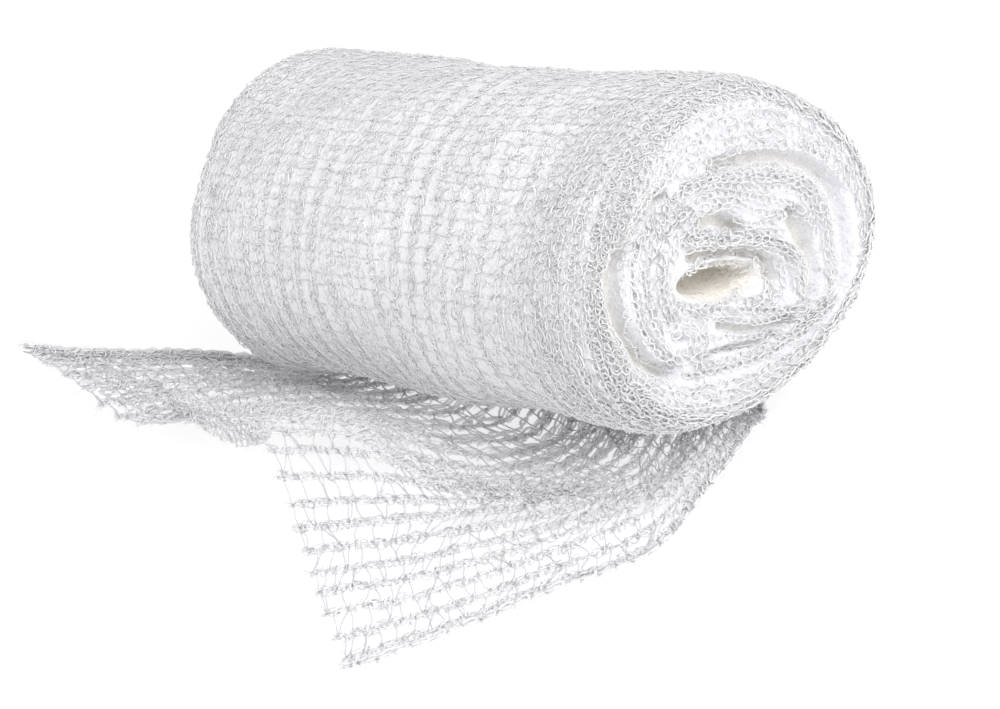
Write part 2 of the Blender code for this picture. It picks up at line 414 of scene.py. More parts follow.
@dataclass
class LooseForm:
    """The loose end's form: yarn lines from the cut edge to the root under the roll."""

    roll: RollForm
    cloth: float = 1.2
    clearance: float = 0.4
    hem_swell: float = 0.25
    hem_waves: int = 5
    keys: tuple[float, ...] = (0.0, 0.13, 0.26, 0.45, 0.60, 0.74, 0.87, 1.0)
    # Each line's points as (along, side, height): the cut edge, four places on the way, under the roll's near
    # side, on the floor beneath it, and the root, where the cloth meets the roll
    lines: tuple[Line3, ...] = (
        ((-19, -63, 0.6), (-13, -52, 0.6), (-7, -38, 0.6), (-1, -26, 0.6),
         (-1.5, -13.5, 3.5), (-2, -4, 6.5), (-9, 5, 3.5), (-16, 13, 10.0)),
        ((-34, -55, 2.0), (-25, -45, 1.2), (-16, -31, 1.0), (-8, -19, 2.5),
         (-7, -10, 5.0), (-10, -2, 5.5), (-17, 8, 0.6), (-20, 14, 9.0)),
        ((-42, -50, 6.5), (-32, -40, 5.0), (-22, -28, 3.0), (-12, -17, 3.5),
         (-12, -9, 5.5), (-18, 0, 6.0), (-28, 9, 0.6), (-30, 15, 9.0)),
        ((-55, -43, 16.0), (-42, -37, 14.5), (-34, -33, 9.0), (-25, -25, 5.5),
         (-22, -14, 5.0), (-28, -2, 5.5), (-42, 9, 0.6), (-45, 15, 9.0)),
        ((-74, -38, 12.0), (-61, -33, 13.5), (-48, -28, 11.0), (-40, -21, 6.5),
         (-38, -12, 3.5), (-44, -2, 4.0), (-56, 9, 0.6), (-58, 15, 8.0)),
        ((-97, -39, 7.0), (-88, -34, 8.0), (-80, -28, 8.0), (-73, -20, 6.0),
         (-67, -12, 2.5), (-66, -3, 0.6), (-68, 8, 0.6), (-69, 15, 8.0)),
        ((-108, -39, 11.0), (-100, -33, 10.0), (-94, -25, 7.5), (-88, -18, 4.5),
         (-83, -11, 1.6), (-80, -3, 0.6), (-79, 8, 0.6), (-79, 15, 8.0)),
        ((-118, -40, 16.0), (-110, -33, 13.0), (-103, -24, 9.5), (-97, -16, 5.5),
         (-93, -10, 1.8), (-90, -3, 0.6), (-88, 8, 0.6), (-88, 15, 8.0)),
    )

    def surface(self, across: np.ndarray, along: np.ndarray) -> np.ndarray:
        """Points of the middle of the cloth.

        Args:
            across: shares of the width from the near selvedge.
            along: shares of the length from the cut edge.

        Returns:
            Points in the part's frame.
        """
        across, along = np.broadcast_arrays(across, along)
        table = np.array(self.lines, float)
        at = rows_at(self.keys, across)
        places = along * (table.shape[1] - 1)
        lines = np.stack([smooth_rows(line, places) for line in table])
        start = np.minimum(at.astype(int), len(table) - 2)
        part = (at - start)[..., None]
        pick = [np.clip(start + step, 0, len(table) - 1) for step in (-1, 0, 1, 2)]
        beside = (np.take_along_axis(lines, number[None, ..., None], axis=0)[0] for number in pick)
        points = cubic(*beside, part) + self.origin()
        points[..., 2] += self.hem_swell * np.sin(math.tau * self.hem_waves * across) * (1 - along)
        return self.clear(points)

    def origin(self) -> np.ndarray:
        """Where the lines are counted from: the floor under the near face's middle."""
        return np.array((NEAR_CENTRE[0], NEAR_CENTRE[1], 0.0))

    def clear(self, points: np.ndarray) -> np.ndarray:
        """Move points out of the roll and above the floor by the cloth's half thickness.

        Args:
            points: points of the middle of the cloth.

        Returns:
            The moved points.
        """
        points[..., 2] = np.maximum(points[..., 2], self.cloth / 2)
        along, side, up = self.roll.seen(points)
        beside = np.clip(along, -ROLL_LENGTH, 0)
        row = self.roll.row(beside)
        away = np.stack([side - row[..., SIDE], up - row[..., UP]], axis=-1)
        least = self.roll.radius(beside, np.arctan2(away[..., 1], away[..., 0]))
        least = least + self.clearance + self.cloth / 2
        length = np.linalg.norm(away, axis=-1)
        inside = (length < least) & (along <= 0) & (along >= -ROLL_LENGTH - 1)
        away = away * np.where(inside, least / np.maximum(length, 1e-6), 1)[..., None]
        moved = self.roll.place(along, away[..., 0] + row[..., SIDE], away[..., 1] + row[..., UP])
        points = np.where(inside[..., None], moved, points)
        points[..., 2] = np.maximum(points[..., 2], self.cloth / 2)
        return points

    def normal(self, across: np.ndarray, along: np.ndarray) -> np.ndarray:
        """The cloth's upward normals.

        Args:
            across: shares of the width from the near selvedge.
            along: shares of the length from the cut edge.

        Returns:
            The normals.
        """
        step = 0.004
        right, left = (np.clip(across + way, 0, 1) for way in (step, -step))
        after, before = (np.clip(along + way, 0, 1) for way in (step, -step))
        over = self.surface(right, along) - self.surface(left, along)
        down = self.surface(across, after) - self.surface(across, before)
        normal = unit(np.cross(over, down))
        return normal * np.where(normal[..., 2:] < 0, -1, 1)


def even_places(points: np.ndarray, pitch: float) -> np.ndarray:
    """Where evenly spaced loops fall on a line, as fractions of its point numbers.

    Args:
        points: the line.
        pitch: the distance between loops.

    Returns:
        Fractional point numbers.
    """
    steps = np.linalg.norm(np.diff(points, axis=0), axis=1)
    along = np.concatenate([[0], np.cumsum(steps)])
    count = max(2, round(along[-1] / pitch))
    return np.interp(np.linspace(0, along[-1], count + 1), along, np.arange(len(points)))


def read_between(values: np.ndarray, at: np.ndarray) -> np.ndarray:
    """Read a table between its rows, along straight lines.

    Args:
        values: the table.
        at: fractional row numbers.

    Returns:
        One row for each.
    """
    low = np.minimum(at.astype(int), len(values) - 2)
    part = (at - low)[:, None]
    return values[low] * (1 - part) + values[low + 1] * part


def srgb(code: str) -> tuple[float, float, float, float]:
    """An sRGB hex colour as linear light.

    Args:
        code: six hex digits after a hash sign.

    Returns:
        The colour with full alpha.
    """
    channels = [int(code[at : at + 2], 16) / 255 for at in (1, 3, 5)]
    linear = [c / 12.92 if c <= 0.04045 else ((c + 0.055) / 1.055) ** 2.4 for c in channels]
    return (*linear, 1.0)


def add_node(
    tree: bpy.types.NodeTree, kind: str, inputs: dict[Any, Any] | None = None, **settings: Any
) -> Any:
    """Add a node with its settings and links.

    Args:
        tree: the tree that it goes in.
        kind: the node's type.
        inputs: for each input's name or number, a value or the socket that feeds it.
        settings: properties of the node itself.

    Returns:
        The node.
    """
    node = tree.nodes.new(kind)
    for name, value in settings.items():
        setattr(node, name, value)
    for name, value in (inputs or {}).items():
        if isinstance(value, bpy.types.NodeSocket):
            tree.links.new(value, node.inputs[name])
        else:
            node.inputs[name].default_value = value
    return node


def new_material(name: str, constants: dict[str, Any]) -> tuple[bpy.types.Material, bpy.types.Node]:
    """Start a material with the values that are the same all over it.

    Args:
        name: the material's name.
        constants: values for the shader's own inputs.

    Returns:
        The material and its shader.
    """
    made = bpy.data.materials.new(name)
    made.use_nodes = True
    shader = made.node_tree.nodes["Principled BSDF"]
    for socket, value in constants.items():
        shader.inputs[socket].default_value = value
    return made, shader


@dataclass(frozen=True)
class YarnFinish:
    """Bleached viscose and cotton: matt and nearly white, with painted shade that makes it a little darker
    and cooler between its fibres.

    Args:
        name: the material's name.
        pale: colour of the fibres that stand up.
        deep: painted shade between the fibres, where the fuzz's bump is low.
        fibre_mm: width of a clump of fibres.
        relief_mm: height of the fuzz.
        between: colour deep between the turns, where light has passed through many layers.
        translucent: share of the light that spreads inside the yarn.
        cloud_mm: width of the paler and darker patches.
        spread_mm: how far light spreads inside the yarn.
        warm_mm: the depths where the colour between the turns begins and where it is full.
    """

    name: str
    pale: str
    deep: str
    fibre_mm: float
    relief_mm: float
    between: str | None = None
    translucent: float = 0.7
    cloud_mm: float = 14.0
    spread_mm: float = 1.3
    warm_mm: tuple[float, float] = (1.8, 5.0)

    def material(self) -> bpy.types.Material:
        """Build the material.

        Returns:
            The material.
        """
        # The light that spreads through the loose fibres fills the hollows between loops
        made, shader = new_material(
            self.name,
            {
                "Roughness": 0.95,
                "Specular IOR Level": 0.2,
                "Sheen Weight": 0.1,
                "Sheen Roughness": 0.7,
                "Subsurface Weight": self.translucent,
                "Subsurface Radius": (1.0, 1.0, 1.0),
                "Subsurface Scale": self.spread_mm * MM,
            },
        )
        tree = made.node_tree
        where = add_node(tree, "ShaderNodeTexCoord").outputs["Object"]
        # One noise for the clumps of fibres and a wide one for the uneven wetting of the bleach. A single
        # fibre is about 0.015 mm thick, too fine to show, so the clumps are drawn ten times as coarse
        fine = 1 / (2 * self.fibre_mm * MM)
        wide = 1 / (self.cloud_mm * MM)
        clumps = add_node(tree, "ShaderNodeTexNoise", {"Vector": where, "Scale": fine, "Detail": 4.0})
        clouds = add_node(tree, "ShaderNodeTexNoise", {"Vector": where, "Scale": wide, "Detail": 2.0})
        both = add_node(
            tree,
            "ShaderNodeMath",
            {0: clouds.outputs["Fac"], 1: 0.5, 2: clumps.outputs["Fac"]},
            operation="MULTIPLY_ADD",
        )
        # Painted shade: the ramp makes the colour darker and cooler where the clumps are low, in the bump's
        # hollows
        ramp = add_node(tree, "ShaderNodeValToRGB", {"Fac": both.outputs[0]})
        ramp.color_ramp.elements[0].position = 0.55
        ramp.color_ramp.elements[0].color = srgb(self.deep)
        ramp.color_ramp.elements[1].position = 0.9
        ramp.color_ramp.elements[1].color = srgb(self.pale)
        bump = add_node(
            tree,
            "ShaderNodeBump",
            {"Height": clumps.outputs["Fac"], "Strength": 1.0, "Distance": self.relief_mm * MM},
        )
        colour = ramp.outputs["Color"]
        if self.between:
            colour = self.warmed(tree, colour)
        tree.links.new(colour, shader.inputs["Base Color"])
        tree.links.new(bump.outputs["Normal"], shader.inputs["Normal"])
        return made

    def warmed(self, tree: bpy.types.NodeTree, colour: bpy.types.NodeSocket) -> bpy.types.NodeSocket:
        """The colour, warmed with painted light from the gaps between the turns down into the core.

        Args:
            tree: the material's tree.
            colour: the colour at the surface.

        Returns:
            The warmed colour.
        """
        depth = add_node(tree, "ShaderNodeAttribute", attribute_name="between_turns")
        share = add_node(
            tree,
            "ShaderNodeMapRange",
            {"Value": depth.outputs["Fac"], "From Min": self.warm_mm[0], "From Max": self.warm_mm[1]},
        )
        # A colour mix has its share at input 0 and its two colours at 6 and 7
        mix = add_node(
            tree,
            "ShaderNodeMix",
            {0: share.outputs["Result"], 6: colour, 7: srgb(self.between)},
            data_type="RGBA",
        )
        return mix.outputs[2]


@dataclass(frozen=True)
class StudioFinish:
    """Matt white paper under the roll, with a little light of its own so that it prints as bare paper."""

    name: str = "white_backdrop_paper"
    colour: str = "#bebebe"
    glow: float = 0.62

    def material(self) -> bpy.types.Material:
        """Build the material.

        Returns:
            The material.
        """
        return new_material(
            self.name,
            {
                "Base Color": srgb(self.colour),
                "Roughness": 1.0,
                "Specular IOR Level": 0.0,
                "Emission Color": (1.0, 1.0, 1.0, 1.0),
                "Emission Strength": self.glow,
            },
        )[0]


def mesh_object(
    name: str, points: np.ndarray, faces: Iterable[Sequence[int]], edges: Iterable = ()
) -> bpy.types.Object:
    """Make a mesh object from points in millimetres.

    Args:
        name: the object's name.
        points: its points in the part's frame.
        faces: its faces by point number.
        edges: its loose edges by point number.

    Returns:
        The object, linked to the scene.
    """
    mesh = bpy.data.meshes.new(name)
    mesh.from_pydata((np.asarray(points) * MM).tolist(), list(edges), list(faces))
    mesh.update()
    made = bpy.data.objects.new(name, mesh)
    bpy.context.scene.collection.objects.link(made)
    return made


def ring_faces(rings: int, around: int, closed: bool = False) -> list[tuple[int, ...]]:
    """Four-sided faces between neighbouring rings of points.

    Args:
        rings: how many rings there are.
        around: points in each.
        closed: whether the last ring joins the first.

    Returns:
        The faces by point number.
    """
    faces: list[tuple[int, ...]] = []
    for ring in range(rings if closed else rings - 1):
        here = ring * around
        there = (ring + 1) % rings * around
        for step in range(around):
            beside = (step + 1) % around
            faces.append((here + step, here + beside, there + beside, there + step))
    return faces


def tube(
    middle: np.ndarray, thick: float, sides: int, closed: bool
) -> tuple[np.ndarray, list[tuple[int, ...]]]:
    """A thin tube along a line that lies roughly flat.

    Args:
        middle: the line's points.
        thick: the tube's thickness.
        sides: how many sides it has.
        closed: whether its end joins its start, or else each end has a cap.

    Returns:
        Its points and faces.
    """
    if closed:
        ahead = unit(np.roll(middle, -1, axis=0) - np.roll(middle, 1, axis=0))
        first = math.pi / 4
    else:
        ahead = unit(np.gradient(middle, axis=0))
        first = 0.0
    out = unit(np.cross(ahead, (0.0, 0.0, 1.0)))
    over = np.cross(out, ahead)
    around = np.arange(sides) / sides * math.tau + first
    ring = np.cos(around)[None, :, None] * out[:, None] + np.sin(around)[None, :, None] * over[:, None]
    points = (middle[:, None] + thick / 2 * ring).reshape(-1, 3)
    faces = ring_faces(len(middle), sides, closed)
    if not closed:
        last = len(points) - sides
        faces = [(0, *range(sides - 1, 0, -1)), *faces, tuple(range(last, last + sides))]
    return points, faces


class LineSet:
    """Lines that yarns follow, each point with the cloth's normal, as one mesh of edges."""

    def __init__(self) -> None:
        """Start with no lines."""
        self.points: list[np.ndarray] = []
        self.normals: list[np.ndarray] = []
        self.edges: list[tuple[int, int]] = []
        self.count = 0

    def add(self, points: np.ndarray, normals: np.ndarray, closed: bool = False) -> None:
        """Add a line.

        Args:
            points: its points in millimetres.
            normals: the cloth's normals on it.
            closed: whether its last point joins its first.
        """
        size = len(points)
        self.points.append(points)
        self.normals.append(normals)
        self.edges += [(self.count + at, self.count + at + 1) for at in range(size - 1)]
        if closed:
            self.edges.append((self.count + size - 1, self.count))
        self.count += size

    def as_object(self, name: str) -> bpy.types.Object:
        """The lines as one object with the normals stored on it.

        Args:
            name: the object's name.

        Returns:
            The object.
        """
        made = mesh_object(name, np.concatenate(self.points), (), self.edges)
        stored = made.data.attributes.new("cloth_normal", "FLOAT_VECTOR", "POINT")
        stored.data.foreach_set("vector", np.concatenate(self.normals).astype(np.float32).ravel())
        return made


@dataclass(frozen=True)
class Loop:
    """One loop of the chain stitch: a teardrop of soft yarn whose head lies over the next loop's feet.

    Args:
        long: its length over the yarn.
        wide: its width over the yarn.
        yarn: the yarn's thickness.
        rise: how far its head stands over its feet.
        size_jitter: how much the loops differ in size.
        turn_jitter: how much they are turned, in radians.
        steps: points round the loop.
        sides: sides of the yarn.
    """

    long: float
    wide: float
    yarn: float
    rise: float = 0.3
    size_jitter: float = 0.12
    turn_jitter: float = 0.22
    steps: int = 7
    sides: int = 3

    def template(self) -> bpy.types.Object:
        """Build the loop once, along X with its face towards Z.

        Returns:
            The object, which YarnMaker.rows takes away again.
        """
        turn = np.arange(self.steps) / self.steps * math.tau
        x = (self.long - self.yarn) / 2 * np.cos(turn)
        y = (self.wide - self.yarn) / 2 * np.sin(turn) * (1 + 0.35 * np.cos(turn))
        z = self.rise / 2 * np.cos(turn)
        points, faces = tube(np.stack([x, y, z], axis=-1), self.yarn, self.sides, closed=True)
        return mesh_object("loop_template", points, faces)


@dataclass(frozen=True)
class Fibre:
    """A short curly fibre that has worked loose from its yarn, lying along X and bulging towards Z.

    It stands for a wisp of several, because one alone is too fine to show.

    Args:
        long: its length from end to end.
        thick: its thickness.
        curl: how far it wanders off its line.
        steps: points along it.
        kinds: how many shapes of it there are.
    """

    long: float
    thick: float
    curl: float
    steps: int = 4
    kinds: int = 6

    def template(self, seed: int) -> bpy.types.Object:
        """Build one shape of the fibre.

        Args:
            seed: the seed of its curl.

        Returns:
            The object, which YarnMaker.fuzz takes away again.
        """
        dice = np.random.default_rng(seed)
        part = np.linspace(0, 1, self.steps)
        phases = dice.uniform(0, math.tau, 3)
        x = (part - 0.5) * self.long + 0.3 * self.curl * np.sin(math.tau * 1.7 * part + phases[0])
        y = self.curl * np.sin(math.tau * dice.uniform(0.6, 1.3) * part + phases[1])
        z = 0.1 + self.curl * (0.5 - 0.5 * np.cos(math.tau * part)) * dice.uniform(0.3, 0.9)
        points, faces = tube(np.stack([x, y, z], axis=-1), self.thick, THREAD_SIDES, closed=False)
        return mesh_object("fibre_template", points, faces)


class SocketKind(Enum):
    """The kinds of input that the yarn's node groups take."""

    NUMBER = "NodeSocketFloat"
    WHOLE = "NodeSocketInt"
    SHAPE = "NodeSocketObject"
    FINISH = "NodeSocketMaterial"


class YarnNodes:
    """Geometry Nodes that turn lines into rows of loops or into plain threads, and a surface into fuzz."""

    @staticmethod
    def start(name: str, inputs: dict[str, SocketKind]) -> tuple[Any, Any, Any]:
        """Begin a node group.

        Args:
            name: the group's name.
            inputs: its inputs' names and kinds, besides the lines or surface.

        Returns:
            The group, its input node and its output node.
        """
        group = bpy.data.node_groups.new(name, "GeometryNodeTree")
        group.interface.new_socket("Lines", in_out="INPUT", socket_type="NodeSocketGeometry")
        for label, kind in inputs.items():
            group.interface.new_socket(label, in_out="INPUT", socket_type=kind.value)
        group.interface.new_socket("Yarn", in_out="OUTPUT", socket_type="NodeSocketGeometry")
        return group, group.nodes.new("NodeGroupInput"), group.nodes.new("NodeGroupOutput")

    @classmethod
    def chain(cls) -> bpy.types.NodeTree:
        """Rows of chain stitches: a loop at each pitch, along the row and facing as the cloth does.

        Returns:
            The node group.
        """
        group, given, done = cls.start(
            "chain_stitch_rows",
            {
                "Loop": SocketKind.SHAPE,
                "Pitch": SocketKind.NUMBER,
                "Size jitter": SocketKind.NUMBER,
                "Turn jitter": SocketKind.NUMBER,
                "Seed": SocketKind.WHOLE,
                "Material": SocketKind.FINISH,
            },
        )
        curve = add_node(group, "GeometryNodeMeshToCurve", {"Mesh": given.outputs["Lines"]})
        spaced = add_node(
            group,
            "GeometryNodeResampleCurve",
            {"Curve": curve.outputs["Curve"], "Length": given.outputs["Pitch"]},
            mode="LENGTH",
        )
        facing = add_node(
            group, "GeometryNodeInputNamedAttribute", {"Name": "cloth_normal"}, data_type="FLOAT_VECTOR"
        )
        along = add_node(group, "GeometryNodeInputTangent")
        turned = add_node(
            group,
            "FunctionNodeAxesToRotation",
            {"Primary Axis": along.outputs["Tangent"], "Secondary Axis": facing.outputs["Attribute"]},
            primary_axis="X",
            secondary_axis="Z",
        )
        most = given.outputs["Turn jitter"]
        least = add_node(group, "ShaderNodeMath", {0: most, 1: -1.0}, operation="MULTIPLY")
        uneven = given.outputs["Size jitter"]
        smallest = add_node(group, "ShaderNodeMath", {0: 1.0, 1: uneven}, operation="SUBTRACT")
        largest = add_node(group, "ShaderNodeMath", {0: 1.0, 1: uneven}, operation="ADD")
        size = add_node(
            group,
            "FunctionNodeRandomValue",
            {0: smallest.outputs[0], 1: largest.outputs[0], "Seed": given.outputs["Seed"]},
            data_type="FLOAT_VECTOR",
        )
        row = cls.strewn(
            group,
            given,
            "Loop",
            {
                "Points": spaced.outputs["Curve"],
                "Rotation": turned.outputs["Rotation"],
                "Scale": size.outputs[0],
            },
            (least.outputs[0], most),
        )
        return cls.end(group, given, done, row)

    @classmethod
    def thread(cls) -> bpy.types.NodeTree:
        """Plain threads: a closed tube along each line.

        Returns:
            The node group.
        """
        group, given, done = cls.start(
            "plain_threads",
            {
                "Half thickness": SocketKind.NUMBER,
                "Sides": SocketKind.WHOLE,
                "Material": SocketKind.FINISH,
            },
        )
        curve = add_node(group, "GeometryNodeMeshToCurve", {"Mesh": given.outputs["Lines"]})
        section = add_node(
            group,
            "GeometryNodeCurvePrimitiveCircle",
            {"Resolution": given.outputs["Sides"], "Radius": given.outputs["Half thickness"]},
        )
        threads = add_node(
            group,
            "GeometryNodeCurveToMesh",
            {"Curve": curve.outputs["Curve"], "Profile Curve": section.outputs["Curve"], "Fill Caps": True},
        )
        return cls.end(group, given, done, threads.outputs["Mesh"])

    @classmethod
    def fuzz(cls) -> bpy.types.NodeTree:
        """Fibres that stand out of a yarn's or cloth's surface, scattered and spun about its normals.

        Returns:
            The node group.
        """
        group, given, done = cls.start(
            "loose_fibres",
            {
                "Fibre": SocketKind.SHAPE,
                "Fibres per area": SocketKind.NUMBER,
                "Smallest": SocketKind.NUMBER,
                "Seed": SocketKind.WHOLE,
                "Material": SocketKind.FINISH,
            },
        )
        seed = given.outputs["Seed"]
        spread = add_node(
            group,
            "GeometryNodeDistributePointsOnFaces",
            {"Mesh": given.outputs["Lines"], "Density": given.outputs["Fibres per area"], "Seed": seed},
            distribute_method="RANDOM",
        )
        size = add_node(
            group,
            "FunctionNodeRandomValue",
            {2: given.outputs["Smallest"], 3: 1.0, "Seed": seed},
            data_type="FLOAT",
        )
        hairs = cls.strewn(
            group,
            given,
            "Fibre",
            {
                "Points": spread.outputs["Points"],
                "Rotation": spread.outputs["Rotation"],
                "Scale": size.outputs[1],
            },
            ((-0.5, -0.5, 0.0), (0.5, 0.5, math.tau)),
        )
        return cls.end(group, given, done, hairs)

    @staticmethod
    def strewn(
        group: Any, given: Any, shape: str, where: dict[str, Any], turns: tuple[Any, Any]
    ) -> bpy.types.NodeSocket:
        """Set a shape on each point, with a random turn of its own.

        Args:
            group: the group.
            given: its input node.
            shape: the name of the input that holds the shape.
            where: sockets with the points, and with the rotation and scale there.
            turns: the least and the most extra turn about each axis.

        Returns:
            The shapes as instances.
        """
        turn = add_node(
            group,
            "FunctionNodeRandomValue",
            {0: turns[0], 1: turns[1], "Seed": given.outputs["Seed"]},
            data_type="FLOAT_VECTOR",
        )
        extra = add_node(group, "FunctionNodeEulerToRotation", {"Euler": turn.outputs[0]})
        loose = add_node(
            group,
            "FunctionNodeRotateRotation",
            {"Rotation": where["Rotation"], "Rotate By": extra.outputs["Rotation"]},
            rotation_space="LOCAL",
        )
        source = add_node(
            group, "GeometryNodeObjectInfo", {"Object": given.outputs[shape]}, transform_space="ORIGINAL"
        )
        placed = add_node(
            group,
            "GeometryNodeInstanceOnPoints",
            {**where, "Instance": source.outputs["Geometry"], "Rotation": loose.outputs["Rotation"]},
        )
        return placed.outputs["Instances"]

    @staticmethod
    def end(group: Any, given: Any, done: Any, shape: bpy.types.NodeSocket) -> bpy.types.NodeTree:
        """Close a node group with real geometry in its material.

        Args:
            group: the group.
            given: its input node.
            done: its output node.
            shape: the geometry so far.

        Returns:
            The node group.
        """
        real = add_node(group, "GeometryNodeRealizeInstances", {"Geometry": shape})
        smooth = add_node(group, "GeometryNodeSetShadeSmooth", {"Geometry": real.outputs["Geometry"]})
        finished = add_node(
            group,
            "GeometryNodeSetMaterial",
            {"Geometry": smooth.outputs["Geometry"], "Material": given.outputs["Material"]},
        )
        group.links.new(finished.outputs["Geometry"], done.inputs["Yarn"])
        return group


class YarnMaker:
    """Runs the yarn nodes on sets of lines and keeps the result as plain meshes."""

    def __init__(self) -> None:
        """Build the three node groups once."""
        self.chain_group = YarnNodes.chain()
        self.thread_group = YarnNodes.thread()
        self.fuzz_group = YarnNodes.fuzz()

    def run(
        self, base: bpy.types.Object, name: str, group: bpy.types.NodeTree, values: dict[str, Any]
    ) -> bpy.types.Object:
        """Run a node group on an object, which is used up.

        Args:
            base: the lines or surface that it works on.
            name: the piece's name.
            group: the node group.
            values: the group's inputs by name.

        Returns:
            The piece as a plain mesh.
        """
        live = base.modifiers.new("yarn", "NODES")
        live.node_group = group
        for item in group.interface.items_tree:
            if item.item_type == "SOCKET" and item.in_out == "INPUT" and item.name in values:
                live[item.identifier] = values[item.name]
        view = bpy.context.evaluated_depsgraph_get()
        mesh = bpy.data.meshes.new_from_object(base.evaluated_get(view))
        mesh.name = name
        base.modifiers.remove(live)
        bpy.data.objects.remove(base)
        made = bpy.data.objects.new(name, mesh)
        bpy.context.scene.collection.objects.link(made)
        return made

    def rows(
        self,
        lines: LineSet,
        name: str,
        loop: Loop,
        material: bpy.types.Material,
        seed: int,
        pitch: float = LOOP_PITCH,
    ) -> bpy.types.Object:
        """Rows of chain stitches on lines.

        Args:
            lines: the lines.
            name: the piece's name.
            loop: the loop that repeats.
            material: its finish.
            seed: the seed of its unevenness.
            pitch: the distance between loops.

        Returns:
            The piece.
        """
        shape = loop.template()
        values = {
            "Loop": shape,
            "Pitch": pitch * MM,
            "Size jitter": loop.size_jitter,
            "Turn jitter": loop.turn_jitter,
            "Seed": seed,
            "Material": material,
        }
        made = self.run(lines.as_object(name + "_lines"), name, self.chain_group, values)
        bpy.data.objects.remove(shape)
        return made

    def threads(
        self, lines: LineSet, name: str, thick: float, material: bpy.types.Material
    ) -> bpy.types.Object:
        """Plain threads on lines.

        Args:
            lines: the lines.
            name: the piece's name.
            thick: the threads' thickness.
            material: its finish.

        Returns:
            The piece.
        """
        values = {"Half thickness": thick / 2 * MM, "Sides": THREAD_SIDES, "Material": material}
        return self.run(lines.as_object(name + "_lines"), name, self.thread_group, values)

    def fuzz(
        self,
        base: bpy.types.Object,
        name: str,
        fibre: Fibre,
        per_mm2: float,
        material: bpy.types.Material,
        seed: int,
    ) -> bpy.types.Object:
        """Loose fibres on a piece's surface, in a few shapes.

        Args:
            base: the piece that they stand on, which stays as it is.
            name: the new piece's name.
            fibre: the fibre.
            per_mm2: how many there are on a square millimetre.
            material: their finish.
            seed: the seed of their unevenness.

        Returns:
            The piece.
        """
        made = []
        for kind in range(fibre.kinds):
            shape = fibre.template(seed + kind)
            ground = bpy.data.objects.new(name + "_ground", base.data.copy())
            bpy.context.scene.collection.objects.link(ground)
            values = {
                "Fibre": shape,
                "Fibres per area": per_mm2 / fibre.kinds / MM**2,
                "Smallest": 0.55,
                "Seed": seed + kind,
                "Material": material,
            }
            made.append(self.run(ground, f"{name}_{kind}", self.fuzz_group, values))
            bpy.data.objects.remove(shape)
        return joined(name, made)


def joined(name: str, parts: Sequence[bpy.types.Object]) -> bpy.types.Object:
    """Join several meshes into one piece.

    Args:
        name: the piece's name.
        parts: the meshes, of which the first is kept.

    Returns:
        The piece.
    """
    with bpy.context.temp_override(
        active_object=parts[0], selected_editable_objects=list(parts), selected_objects=list(parts)
    ):
        bpy.ops.object.join()
    parts[0].name = name
    parts[0].data.name = name
    return parts[0]


def wander(places: np.ndarray, seed: int, waves: Sequence[float]) -> np.ndarray:
    """A smooth uneven value between about -1 and 1 along a line.

    Args:
        places: distances along the line, in millimetres.
        seed: the seed of its unevenness.
        waves: the wavelengths that it mixes.

    Returns:
        One value for each place.
    """
    dice = np.random.default_rng(seed)
    total = np.zeros_like(places, dtype=float)
    for wave in waves:
        total += dice.uniform(0.5, 1.0) * np.sin(math.tau * places / wave + dice.uniform(0, math.tau))
    return total / len(waves)


@dataclass(frozen=True)
class Layer:
    """One layer's rows of chain stitches round the body.

    Args:
        name: the piece's name.
        offset: where the first row lies, over the profile.
        sink: how deep the layer lies.
        pitch: the distance between loops.
        seed: the seed of its unevenness.
    """

    name: str
    offset: float
    sink: float
    pitch: float
    seed: int


